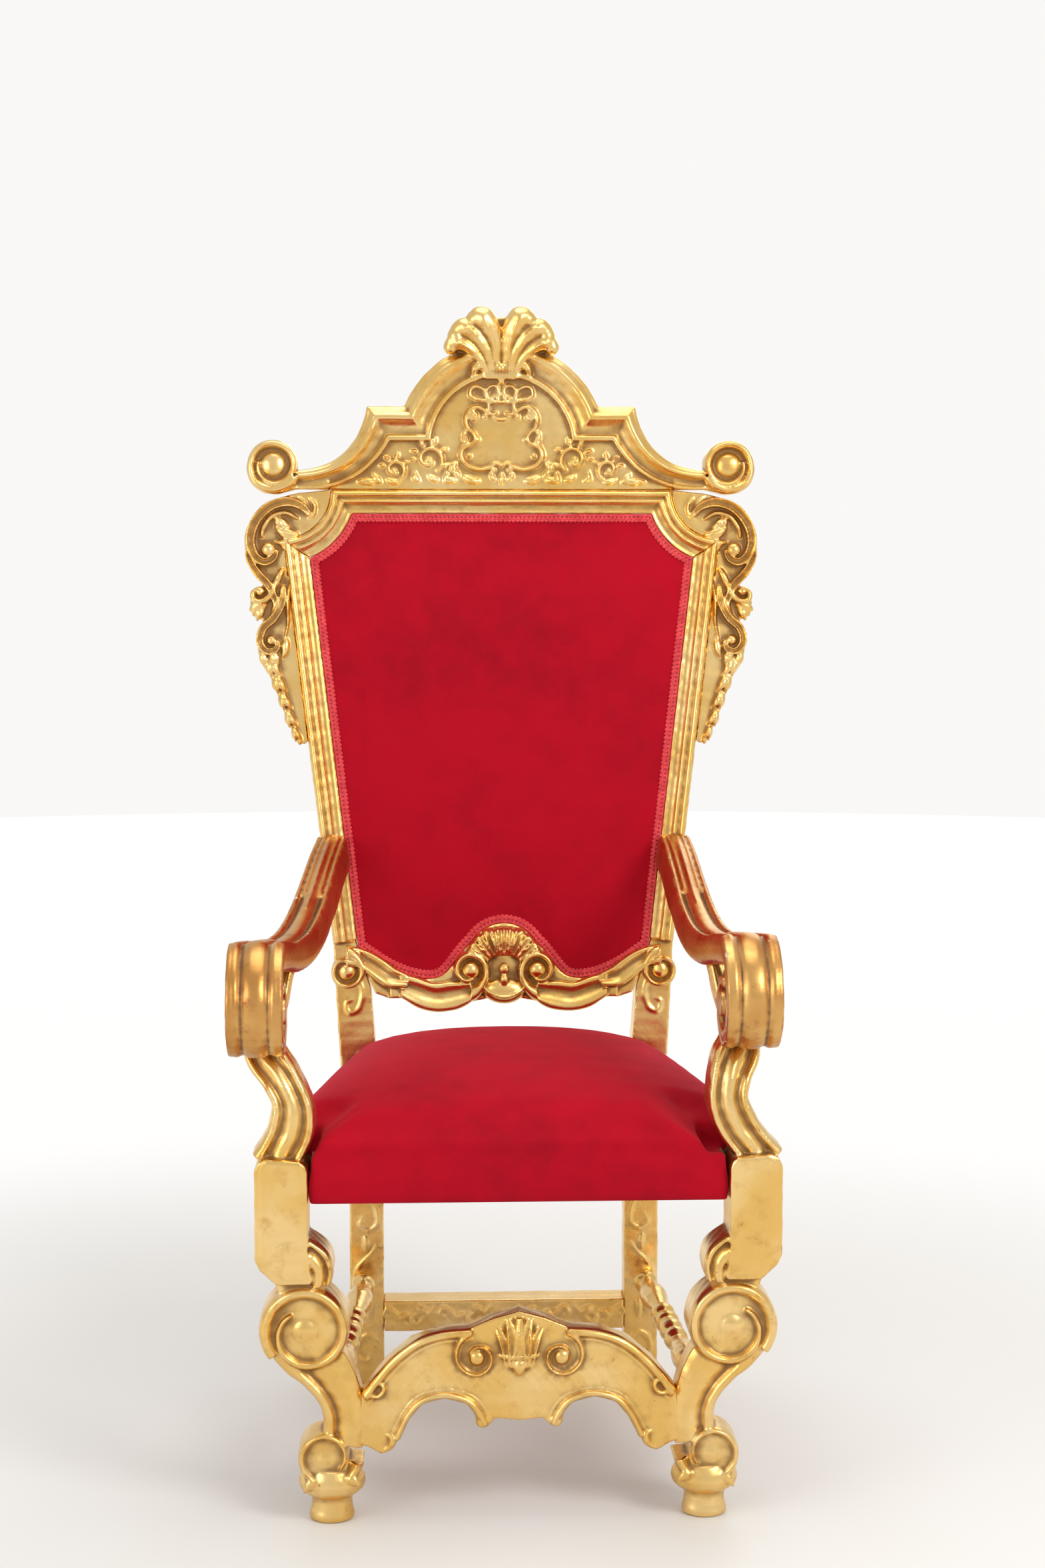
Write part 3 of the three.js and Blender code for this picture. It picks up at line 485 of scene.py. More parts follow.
def braidFinish(name):
    f = Finish(name)
    strand = f.noise(420.0, 2.0)
    patch = f.noise(60.0, 3.0)
    crease = f.mark("crease")
    tone = f.mixed(f.ranged(strand * 0.6 + patch * 0.4, 0.35, 0.7), (0.50, 0.008, 0.016), (0.82, 0.06, 0.07))
    # Painted shade: the braid darkens to a deep crimson in its creases.
    tone = f.mixed(f.ranged(crease, 0.0, 0.5), tone, (0.22, 0.0, 0.008))
    f.feed(f.surface, {"Base Color": tone, "Roughness": 0.62, "Sheen Weight": 0.25, "Sheen Roughness": 0.4,
                       "Normal": f.bumped(strand, 0.6, 0.0006)})
    return f.material


def bareWoodFinish(name):
    f = Finish(name)
    long = f.node("ShaderNodeMapping", {}, {"Vector": f.place, "Scale": (3.0, 40.0, 40.0)})
    grain = f.noise(4.0, 6.0, 0.6, long)
    tone = f.mixed(f.ranged(grain, 0.35, 0.7), (0.30, 0.17, 0.08), (0.16, 0.085, 0.04))
    f.feed(f.surface, {"Base Color": tone, "Roughness": 0.7, "Normal": f.bumped(grain, 0.4, 0.0008)})
    return f.material


gilding = gildedFinish("water gilding", goldLook, wear=0.0, chips=0.0, patinaAndShadeAmount=0.9)
wornGilding = gildedFinish("handled gilding", wornLook, wear=0.3, chips=0.42, patinaAndShadeAmount=1.0)
velvet = velvetFinish("crimson velvet", velvetLook)
gimp = braidFinish("crimson gimp")
bareWood = bareWoodFinish("plain softwood")
print("finishes made")


# Cresting, carved from one board

crest = {
    "back": -30, "archUp": 1390, "archRadius": 156, "hip": 22.6, "stepUp": 1450, "stepReach": 199,
    "endX": 337, "endUp": 1364, "railUp": 1327.4, "ground": 2,
    "section": [(0, -30), (0, 3), (1.5, 6), (5, 7.4), (7.5, 8.6), (9, 11.5), (12, 15.4), (16, 17), (20, 15.4), (23.5, 11.5),
                (27, 8), (32, 5.2), (38, 3.8), (42, 4), (43, 7), (45.5, 8.6), (50, 8.6), (51, 6), (51, -30)],
}
hip = math.radians(crest["hip"])
hipX = crest["archRadius"] * math.cos(hip)
stepUp, stepReach = crest["stepUp"], crest["stepReach"]
wing = [(stepReach, stepUp), (209, 1388), (250, 1357), (302, 1356)]
leftWing = [(-x, up) for x, up in wing[::-1]]
crestLegs = [
    swept(*leftWing, 0.55, 1),
    straight(leftWing[-1], (-hipX, stepUp)),
    bend(0, crest["archUp"], crest["archRadius"], 180 - crest["hip"], crest["hip"]),
    straight((hipX, stepUp), wing[0]),
    swept(*wing, 1, 0.55),
]


def crestVolute(bm):
    x, up = crest["endX"], crest["endUp"]
    disc(bm, x, up, 31, -30, 4)
    outer = [44, 44, 43, 38, 37, 36, 36, 35, 33, 28, 24]
    inner = [r - w for r, w in zip(outer, [20, 18, 15, 13, 12, 12, 12, 11, 10, 8, 6])]
    rim = [(0, -30), (0, 8), (0.08, 12), (0.28, 16.5), (0.5, 17), (0.72, 14), (0.86, 9), (1, 6), (1, -30)]
    band(bm, rim, 60, whorl(x, up, -150, 372, outer), whorl(x, up, -150, 372, inner))
    ball(bm, x, up, 3, 19, 19, 9)


def finialHalf(bm):
    lobes = [
        ([(5, 1502, 5), (8, 1530, 12), (15, 1560, 22), (27, 1578, 27), (42, 1578, 24)], [9, 17, 30, 35, 26], [8, 12, 15, 17, 14]),
        ([(13, 1502, 5), (20, 1528, 12), (36, 1554, 19), (56, 1565, 21), (70, 1554, 16)], [9, 17, 27, 29, 20], [8, 12, 14, 15, 11]),
        ([(20, 1500, 3), (31, 1519, 9), (48, 1537, 15), (66, 1544, 17), (79, 1538, 13)], [8, 14, 20, 24, 19], [7, 10, 12, 13, 10]),
        ([(22, 1500, 3), (32, 1511, 7), (40, 1504, 8), (43, 1493, 5)], [9, 13, 11, 3], [6, 9, 8, 3]),
    ]
    for points, widths, heights in lobes:
        stroke(bm, points, widths, heights)
    for points in (
        [(9, 1512, 16), (13, 1545, 30), (24, 1572, 41), (38, 1584, 38)],
        [(3, 1518, 14), (4, 1548, 26), (12, 1576, 34)],
        [(19, 1514, 14), (29, 1541, 27), (47, 1562, 35), (64, 1564, 30)],
        [(29, 1510, 10), (44, 1530, 22), (62, 1541, 29), (76, 1540, 23)],
    ):
        stroke(bm, points, [3, 6, 6, 2], [3, 4, 4, 1.5], "ridge")
    ball(bm, 39, 1577, 22, 13, 14, 17)
    ball(bm, 67, 1553, 17, 13, 14, 14)
    ball(bm, 75, 1537, 14, 11, 12, 12)
    stroke(bm, whorl(70, 1541, 190, -120, [13, 12, 10, 7, 5]), [6, 6, 5, 3], [28, 27, 25, 22], rows=24)


def leafScroll(bm, x, up, radius, start, end, leaves, ahead=2.0):
    line = whorl(x, up, start, end, [radius, radius * 0.93, radius * 0.74, radius * 0.45, radius * 0.28])
    stroke(bm, lambda t: np.column_stack([line(t), np.full(len(t), ahead)]), [4.5, 6, 6, 4.5, 4], [4, 5.5, 5.5, 4.5, 3.5], rows=44)
    ball(bm, x + radius * 0.1, up, ahead, radius * 0.2, radius * 0.2, 4)
    for angle, length, lean in leaves:
        foot = (x + radius * math.cos(math.radians(angle)), up + radius * math.sin(math.radians(angle)))
        leaf(bm, *foot, ahead, angle + lean, length, length * 0.42, lean * 0.8, 3.6)


def crestRelief(bm):
    frameLine = [(6, 1441), (17, 1438), (26, 1445), (36, 1449), (47, 1444), (53, 1432), (50, 1419), (42, 1411), (39, 1402), (46, 1394),
                 (57, 1388), (60, 1376), (52, 1364), (36, 1357), (20, 1359), (9, 1366), (0, 1362)]
    stroke(bm, [(x, up, 2) for x, up in frameLine], [4, 5.5, 6, 6.5, 6.5, 6.5, 6, 5, 5, 5.5, 6.5, 7, 6.5, 6, 5, 4], [4.5, 5.5, 6, 5, 5.5, 6, 4.5])
    for x, up, size in ((44, 1437, 4.5), (55, 1402, 3.6), (35, 1401, 3), (48, 1376, 3.4), (12, 1356, 3.5), (24, 1435, 3)):
        ball(bm, x, up, 3, size, size, size)
    stroke(bm, [(44, 1444, 2), (36, 1436, 2), (42, 1430, 2), (50, 1434, 2)], [4, 4, 3, 2], [5, 5, 4, 3])
    stroke(bm, [(58, 1392, 2), (50, 1401, 2), (56, 1408, 2), (52, 1414, 2)], [3, 5, 4, 2], [3, 5, 4, 2])
    stroke(bm, [(0, 1456, 2), (18, 1457, 2), (36, 1461, 2)], [5, 5, 5], [4.5, 4.5, 4.5])
    stroke(bm, [(36, 1459, 2), (46, 1466, 2), (43, 1478, 2), (31, 1478, 2), (22, 1470, 2), (19, 1459, 2)], [4, 5, 5, 5, 4.5, 4], [4, 5, 5, 5, 4.5, 4])
    stroke(bm, [(19, 1459, 2), (23, 1470, 2), (16, 1480, 2), (6, 1479, 2), (4, 1469, 2), (6, 1459, 2)], [4, 4.5, 4.5, 4, 3.5, 3], [4, 4.5, 5, 4.5, 4, 4])
    ball(bm, 41, 1463, 3, 3.2, 3.2, 4)
    leafScroll(bm, 107, 1371, 20, 235, -150, [(100, 17, 18), (68, 15, -12), (35, 13, -26), (140, 14, 30), (5, 11, -30)])
    leafScroll(bm, 158, 1356, 15, 250, -140, [(96, 13, 12), (60, 12, -18), (25, 11, -25), (140, 10, 25)])
    for x, up, angle, length, lean in (
        (32, 1340, 20, 30, 40), (60, 1344, 62, 22, 40), (64, 1340, -4, 26, -20), (86, 1338, 100, 20, -50), (92, 1340, 30, 22, 30),
        (120, 1338, 66, 22, 60), (132, 1340, 100, 18, -40), (150, 1338, 15, 24, 30), (176, 1336, 50, 24, 30), (184, 1338, 8, 28, 20),
        (74, 1352, 120, 22, 50), (88, 1358, 150, 16, 40), (8, 1340, 60, 18, 40), (200, 1340, -4, 16, 20),
    ):
        leaf(bm, x, up, 1.5, angle, length, length * 0.36, lean, 3.6)


def makeCrest():
    bm = bmesh.new()
    moulding(bm, crest["section"], crestLegs, [26, 4, 56, 4, 26])
    inside = outlineOf(crestLegs, [12, 1, 24, 1, 12], 44, False)
    low = crest["railUp"]
    plate(bm, [(-300, low), *inside, (300, low)], crest["back"], crest["ground"])
    foot = [(256, low), (304, low), (332, 1320), (352, 1322), (345, 1334), (300, 1345), (256, 1345)]
    plate(bm, foot, crest["back"], 6)
    plate(bm, [(-x, up) for x, up in foot], crest["back"], 6)
    stem = [(24, 1490), (30, 1520), (52, 1556), (30, 1582), (-30, 1582), (-52, 1556), (-30, 1520), (-24, 1490)]
    plate(bm, stem, -18, 10)
    for build in (crestVolute, finialHalf, crestRelief):
        bothSides(bm, build)
    ball(bm, 0, 1507, 13, 7, 7, 7)
    ball(bm, 0, 1487, 4, 5, 5, 5)
    leaf(bm, 0, 1334, 2, 90, 20, 9, 0, 4)
    stroke(bm, whorl(0, 1449, 0, 360, [19, 19, 19]), [4, 4], [5.5, 5.5], rows=36)
    carve({"carvedCresting": "crest"}, bm, onBack, voxel=1.6, keep=0.5)


makeCrest()


# Frame round the velvet: a moulded top rail between two moulded stiles

backFrame = {
    "width": 35, "notchX": 322, "notchUp": 1325, "notchRadius": 70, "railUp": 1327,
    "stileTop": (322, 1253), "stileFoot": (251, 662), "back": -45,
    "section": [(0, -30), (0, 4), (1, 8.5), (3, 12.4), (6, 14), (9, 12.6), (11, 9.2), (12, 7.6), (13.5, 8), (15, 10), (17, 11),
                (19, 10), (20.5, 7.4), (22, 5.4), (28, 3.2), (32.5, 3.8), (33.5, 5.6), (35, 5.6), (35, -30)],
    "footOuter": [(229, 0), (229, 290), (243, 520), (251, 662)],
    "footInner": [(219, 670), (196, 596), (190, 520), (179, 290), (179, 0)],
}
notchX, notchUp, notchRadius = backFrame["notchX"], backFrame["notchUp"], backFrame["notchRadius"]
railLegs = [
    bend(-notchX, notchUp, notchRadius, -90, 0),
    straight((notchRadius - notchX, backFrame["railUp"]), (notchX - notchRadius, backFrame["railUp"])),
    bend(notchX, notchUp, notchRadius, 180, 270),
]
stileRight = straight(backFrame["stileTop"], backFrame["stileFoot"])
stileLeft = straight((-251, 662), (-322, 1253))


def makeTopRail():
    bm = bmesh.new()
    moulding(bm, backFrame["section"], railLegs, [30, 90, 30], stileLeft, stileRight)
    carve({"mouldedTopRail": "top_rail"}, bm, onBack, voxel=1.5, keep=0.5)


def makeStiles():
    bm = bmesh.new()
    moulding(bm, backFrame["section"], [stileRight], [120], before=railLegs[-1])
    back = backFrame["back"]
    plate(bm, [*backFrame["footOuter"], *backFrame["footInner"]], back, 0)
    plate(bm, [(320, 1220), (251, 658), (218, 658), (286, 1220)], back, -10)
    for points in (  # shallow scrolls cut in the face of the leg
        [(184, 372, 0), (196, 392, 0), (214, 380, 0), (222, 352, 0), (214, 322, 0), (198, 318, 0), (194, 334, 0), (205, 340, 0)],
        [(222, 312, 0), (206, 290, 0), (190, 268, 0), (188, 244, 0), (202, 234, 0), (214, 244, 0), (206, 256, 0)],
        [(186, 214, 0), (200, 196, 0), (218, 176, 0), (222, 152, 0), (208, 140, 0), (198, 152, 0), (208, 160, 0)],
        [(186, 62, 0), (200, 76, 0), (216, 66, 0), (218, 44, 0), (204, 36, 0), (198, 48, 0)],
        [(226, 640, 0), (216, 616, 0), (208, 590, 0), (214, 566, 0), (228, 560, 0), (232, 574, 0), (224, 580, 0)],
    ):
        stroke(bm, points, [2, 5, 6, 6, 5, 4, 2], [1, 2.2, 2.4, 2.4, 2.2, 2, 1])
    for x, up, angle, length, lean in ((196, 400, 80, 34, 30), (212, 400, 60, 26, -30), (206, 302, 250, 24, 30), (206, 226, 270, 26, 20),
                                       (200, 126, 270, 30, -20), (210, 126, 290, 24, 20), (192, 470, 80, 40, -20), (214, 470, 95, 34, 20)):
        leaf(bm, x, up, 0, angle, length, 9, lean, 2.4)
    carve({"mouldedStileRight": "post_right", "mouldedStileLeft": "post_left"}, bm, onBack, voxel=1.5, keep=0.4)


makeTopRail()
makeStiles()


# Ornament on the outside of each stile: scrolls, a leaf and hanging husks

ornament = {
    "edge": [(300, 1322), (335, 1312), (364, 1290), (379, 1262), (376, 1230), (360, 1205), (349, 1190), (366, 1178), (371, 1160),
             (366, 1143), (352, 1132), (361, 1100), (352, 1066), (330, 1040), (324, 1005), (310, 975), (293, 953)],
    "back": -16, "front": 3,
    "husks": [(343, 1076, 18, 30), (334, 1052, 16, 30), (325, 1026, 14, 28), (317, 1000, 12, 26), (308, 976, 9, 22)],
}


def makeOrnaments():
    bm = bmesh.new()
    inner = [tuple(p) for p in stileRight(-0.4, np.linspace(0.5, 0, 8))]
    corner = [tuple(p) for p in railLegs[-1](-0.4, np.linspace(1, 0, 9))]
    edge = [tuple(p) for p in through(ornament["edge"])(np.linspace(0, 1, 70))]
    plate(bm, [(253, 1326.6), *edge, *inner, *corner[:-1]], ornament["back"], ornament["front"])
    rims = [
        ([(283, 1290, 3), (296, 1303, 3), (318, 1309, 3), (344, 1301, 3), (364, 1279, 3), (371, 1252, 3), (364, 1230, 3), (350, 1221, 3),
          (337, 1227, 3), (333, 1239, 3)], [7, 11, 14, 15, 15, 14, 13, 12, 11, 9], [6, 10, 12, 13, 13, 13, 13, 12, 12, 10], "gouge"),
        ([(300, 1283, 3), (318, 1293, 3), (338, 1288, 3), (351, 1271, 3), (354, 1256, 3)], [4, 7, 8, 7, 4], [4, 7, 8, 7, 4], "bead"),
        ([(375, 1247, 3), (372, 1224, 3), (359, 1203, 3), (345, 1188, 3), (336, 1170, 3), (333, 1150, 3)], [6, 10, 12, 12, 10, 6],
         [7, 10, 12, 11, 9, 5], "gouge"),
        ([(333, 1196, 3), (338, 1178, 3), (350, 1164, 3), (364, 1164, 3), (367, 1176, 3), (357, 1182, 3), (350, 1177, 3)],
         [6, 10, 11, 10, 8, 6, 4], [6, 10, 12, 12, 11, 9, 7], "bead"),
        ([(322, 1186, 3), (325, 1160, 3), (337, 1138, 3), (352, 1124, 3), (357, 1104, 3), (347, 1090, 3), (333, 1093, 3), (330, 1106, 3)],
         [7, 11, 12, 12, 11, 10, 9, 6], [6, 10, 12, 12, 12, 11, 10, 8], "gouge"),
        ([(300, 1246, 3), (304, 1220, 3), (312, 1190, 3), (316, 1160, 3), (316, 1130, 3), (322, 1104, 3)], [5, 7, 8, 8, 7, 4],
         [4, 6, 7, 7, 6, 3], "ridge"),
        ([(284, 1316, 2), (276, 1304, 2), (278, 1290, 2), (286, 1284, 2)], [4, 6, 5, 3], [3, 5, 5, 2], "bead"),
        ([(300, 1318, 2), (290, 1308, 2), (286, 1296, 2)], [3, 5, 3], [3, 4, 2], "bead"),
    ]
    for points, widths, heights, kind in rims:
        stroke(bm, points, widths, heights, kind)
    ball(bm, 344, 1239, 8, 10.5, 10.5, 9)
    ball(bm, 357, 1176, 7, 5, 5, 6)
    ball(bm, 340, 1106, 6, 7, 7, 7)
    for x, up, angle, length, width, lean, height in (
        (300, 1262, 20, 40, 16, 50, 8), (302, 1256, -8, 36, 12, 40, 7), (312, 1270, 50, 26, 11, 40, 7), (326, 1272, 66, 18, 9, 30, 6),
        (346, 1158, -20, 30, 17, -40, 8), (350, 1154, -62, 24, 12, -30, 7), (364, 1158, -80, 18, 9, 10, 6),
        (328, 1172, -64, 34, 12, 30, 6), (342, 1092, -110, 30, 14, 30, 7), (352, 1092, -100, 28, 12, -30, 6),
        (318, 1110, -80, 34, 11, 10, 5), (322, 1212, -70, 34, 10, -20, 5), (310, 1236, 40, 22, 9, 30, 5),
    ):
        leaf(bm, x, up, 3, angle, length, width, lean, height)
    for x, up, width, length in ornament["husks"]:
        ball(bm, x, up - length * 0.2, 2, width * 0.42, length * 0.5, width * 0.42)
        leaf(bm, x - width * 0.2, up + 2, 4, -118, length, width * 0.6, -26, 6)
        leaf(bm, x + width * 0.15, up + 2, 4, -100, length, width * 0.6, 14, 6)
    ball(bm, 299, 960, 2, 4, 8, 5)
    carve({"sideOrnamentRight": "side_ornament_right", "sideOrnamentLeft": "side_ornament_left"}, bm, onBack, voxel=1.3, keep=0.45)


makeOrnaments()


# Lower rail of the back: volutes, dipping bands and a shell

lowerRail = {
    "band": [(0, -20), (0, 9), (0.04, 12.5), (0.12, 14.2), (0.22, 13.4), (0.3, 11), (0.4, 10.4), (0.52, 12.6), (0.66, 17.5),
             (0.8, 20.6), (0.92, 19.5), (0.99, 15), (1, -20)],
    "volute": [(0, -20), (0, 12), (0.1, 17.5), (0.28, 20.5), (0.5, 20), (0.68, 16), (0.8, 11), (1, 8), (1, -20)],
}


def lowerRailHalf(bm):
    top = through([(232, 659), (214, 656), (194, 649), (174, 637), (158, 625), (142, 617)])
    under = through([(232, 630), (215, 628), (200, 618), (186, 606), (170, 598), (142, 600)])
    dipTop = through([(152, 618), (130, 613), (104, 604), (82, 606), (64, 606), (49, 606)])
    dipUnder = through([(152, 584), (128, 569), (100, 562), (74, 564), (58, 570), (49, 576)])
    band(bm, lowerRail["band"], 30, top, under)
    band(bm, lowerRail["band"], 30, dipTop, dipUnder)
    plate(bm, [(140, 582), (168, 582), (168, 610), (140, 610)], -22, 11)
    radii = [36, 30, 28, 27, 26, 24, 22, 19, 15]
    band(bm, lowerRail["volute"], 44, whorl(231, 623, 90, 480, radii), whorl(231, 623, 90, 480, [8, 12, 14, 15, 15, 14, 13, 12, 9]))
    ball(bm, 231, 622, 8, 14.5, 14.5, 12)
    radii = [47, 31, 28, 27, 27, 26, 24, 20, 15]
    band(bm, lowerRail["volute"], 50, whorl(49, 623, -90, -470, radii), whorl(49, 623, -90, -470, [17, 16, 15, 15, 15, 14, 13, 11, 8]))
    ball(bm, 49, 623, 9, 13.5, 13.5, 13)
    for lean in (20, 33, 46, 59):  # side fan of the shell
        angle = math.radians(lean)
        points = [(r * math.sin(angle) + 5, 622 + r * math.cos(angle), high) for r, high in ((22, 8), (42, 12), (62 - lean * 0.12, 11), (66 - lean * 0.16, 6))]
        stroke(bm, points, [3, 7.5, 11, 7], [5, 9, 9, 5], "gouge")


def makeLowerRail():
    bm = bmesh.new()
    top = [(189, 660), (130, 640), (60, 676), (26, 694)]
    low = [(189, 588), (168, 581), (140, 582), (118, 566), (84, 564), (50, 575), (24, 580)]
    edge = [tuple(p) for p in np.array(velvetEdge(0.5))]
    plate(bm, [(219, 656), *[p for p in edge if p[1] < 700 and abs(p[0]) < 200], (-219, 656), *[(-x, up) for x, up in low], *low[::-1]], -22, 5)
    bothSides(bm, lowerRailHalf)
    for lean in (-16, -8, 0, 8, 16):
        angle = math.radians(lean)
        points = [(r * math.sin(angle), 618 + r * math.cos(angle), high) for r, high in ((26, 14), (48, 19), (62, 16), (68, 9))]
        stroke(bm, points, [3, 7, 9.5, 6], [5, 8, 9, 5], "gouge")
    stroke(bm, [(-18, 664, 12), (0, 668, 16), (18, 664, 12)], [3, 4, 3], [5, 6, 5], "ridge")
    ball(bm, 0, 625, 14, 8, 9, 8)
    ball(bm, 0, 610, 15, 7, 9, 8)
    ball(bm, 0, 592, 6, 31, 19, 13)
    stroke(bm, [(-30, 596, 10), (-14, 587, 16), (0, 584, 18), (14, 587, 16), (30, 596, 10)], [5, 5, 5, 5], [4, 4, 4, 4])
    carve({"carvedLowerRail": "lower_back_rail"}, bm, onBack, voxel=1.4, keep=0.5)


# Velvet edge of the back, on the inner side of the frame

def velvetSide(k):
    return [swept((k * 47, 663), (k * 76, 638), (k * 78, 608), (k * 112, 609)),
            swept((k * 112, 609), (k * 160, 613), (k * 190, 640), (k * 226, 664))]


def turned(leg, width):  # the lower edge is drawn on the velvet itself, not on the frame
    return lambda offset, t: leg(-(offset - width), 1 - np.asarray(t, float))


def setIn(leg, width):
    return lambda offset, t: leg(offset - width, t)


width = backFrame["width"]
velvetLegs = [
    stileLeft, *railLegs, stileRight, turned(velvetSide(1)[1], width), turned(velvetSide(1)[0], width),
    setIn(bend(0, 636, 54, 30, 150), width), setIn(velvetSide(-1)[0], width), setIn(velvetSide(-1)[1], width),
]
velvetRows = [60, 16, 50, 16, 60, 26, 22, 18, 22, 26]
velvetEdge = lambda offset: outlineOf(velvetLegs, velvetRows, backFrame["width"] + offset)

makeLowerRail()


# Gimp braid round the velvet

braid = {"wide": 12.5, "scallop": 6.2, "thick": 1.5, "columns": 15, "steps": 6}


def makeBraid():
    edges = [np.array(velvetEdge(offset)) for offset in (0.4, braid["wide"])]
    edges = [np.vstack([e, e[:1]]) for e in edges]
    middle = (edges[0] + edges[1]) / 2
    along = np.concatenate([[0], np.cumsum(np.hypot(*np.diff(middle, axis=0).T))])
    count = round(along[-1] / braid["scallop"])
    outer, inner = (lambda t, e=e: np.column_stack([np.interp(t * along[-1], along, e[:, k]) for k in (0, 1)]) for e in edges)
    spots = np.linspace(0, 1, braid["columns"])
    section = [(1, -1), (0, -1), *[(u, 1) for u in spots]]

    def place(u, v, t):
        beat = t * count * math.pi
        reach = np.where(u > 0.7, 0.7 + (u - 0.7) * (0.55 + 0.6 * np.abs(np.sin(beat))), u)
        flat = outer(t) * (1 - reach[:, None]) + inner(t) * reach[:, None]
        cords = 1.1 * np.exp(-((u - 0.13) / 0.09) ** 2) + 1.1 * np.exp(-((u - 0.62) / 0.08) ** 2)
        plait = 1.0 * np.abs(np.sin(beat + np.where(u < 0.38, 5.2, -5.2) * (u - 0.38))) * np.exp(-((u - 0.38) / 0.17) ** 4)
        twist = 0.45 * np.abs(np.sin(beat * 2 + u * 9)) * (cords > 0.3)
        loops = 0.9 * np.abs(np.sin(beat)) * np.exp(-((u - 0.86) / 0.1) ** 2)
        edge = np.where((u < 0.02) | (u > 0.98), 0.4, 1)
        height = np.where(v > 0, edge * (braid["thick"] + cords + plait + twist + loops), -1.0)
        return np.column_stack([flat, 1.4 + height])
    bm = bmesh.new()
    drawnForm(bm, section, count * braid["steps"], place)
    bmesh.ops.recalc_face_normals(bm, faces=bm.faces)
    obj = newPiece("gimpBraid", bm)
    markRelief(obj.data, 1.2)
    obj.data.vertices.foreach_set("co", onBack(readPoints(obj.data)).ravel())
    finishPiece(obj, "back_braid", gimp)


makeBraid()


# Front legs: scroll leg, block and fluted arm support in one carving

leg = {
    "knee": (271, 252), "toe": (246, 85), "blockHalf": 36,
    "support": [(308, 462, 0), (297, 482, 0), (282, 508, 0), (275, 540, 0), (285, 574, -6), (302, 602, -22), (306, 632, -44),
                (299, 666, -66), (290, 704, -80)],
    "fluted": [(-0.5, -0.5), (-0.5, 0.3), (-0.46, 0.44), (-0.4, 0.5), (-0.33, 0.47), (-0.27, 0.37), (-0.2, 0.35), (-0.1, 0.45),
               (0, 0.49), (0.1, 0.45), (0.2, 0.35), (0.27, 0.37), (0.33, 0.47), (0.4, 0.5), (0.46, 0.44), (0.5, 0.3), (0.5, -0.5)],
    "foot": [(0, 0), (25, 0), (28, 2), (28.5, 8), (26, 16), (25, 26), (27, 31), (34, 36), (40, 42), (42, 50), (40, 58), (34, 68), (0, 74)],
}


def bulge(depth):
    rise = [(0, -9), (0.05, -4), (0.14, 0), (0.22, -1.5), (0.29, -6.5), (0.33, -8.5), (0.38, -7), (0.5, -2.5), (0.64, 0), (0.78, -1),
            (0.9, -4.5), (1, -9)]
    back = [(1, -8), (0.7, 0), (0.3, 0), (0, -8)]
    return [(u, depth + v) for u, v in rise] + [(u, -depth - v) for u, v in back]


def voluteBand(level, back):
    rise = [(0, 0.62), (0.05, 0.8), (0.14, 0.93), (0.28, 1), (0.42, 0.97), (0.55, 0.86), (0.66, 0.72), (0.74, 0.64), (0.8, 0.66),
            (0.88, 0.74), (0.94, 0.7), (1, 0.5)]
    return [(u, v * level) for u, v in rise] + [(1, -back), (0, -back)]


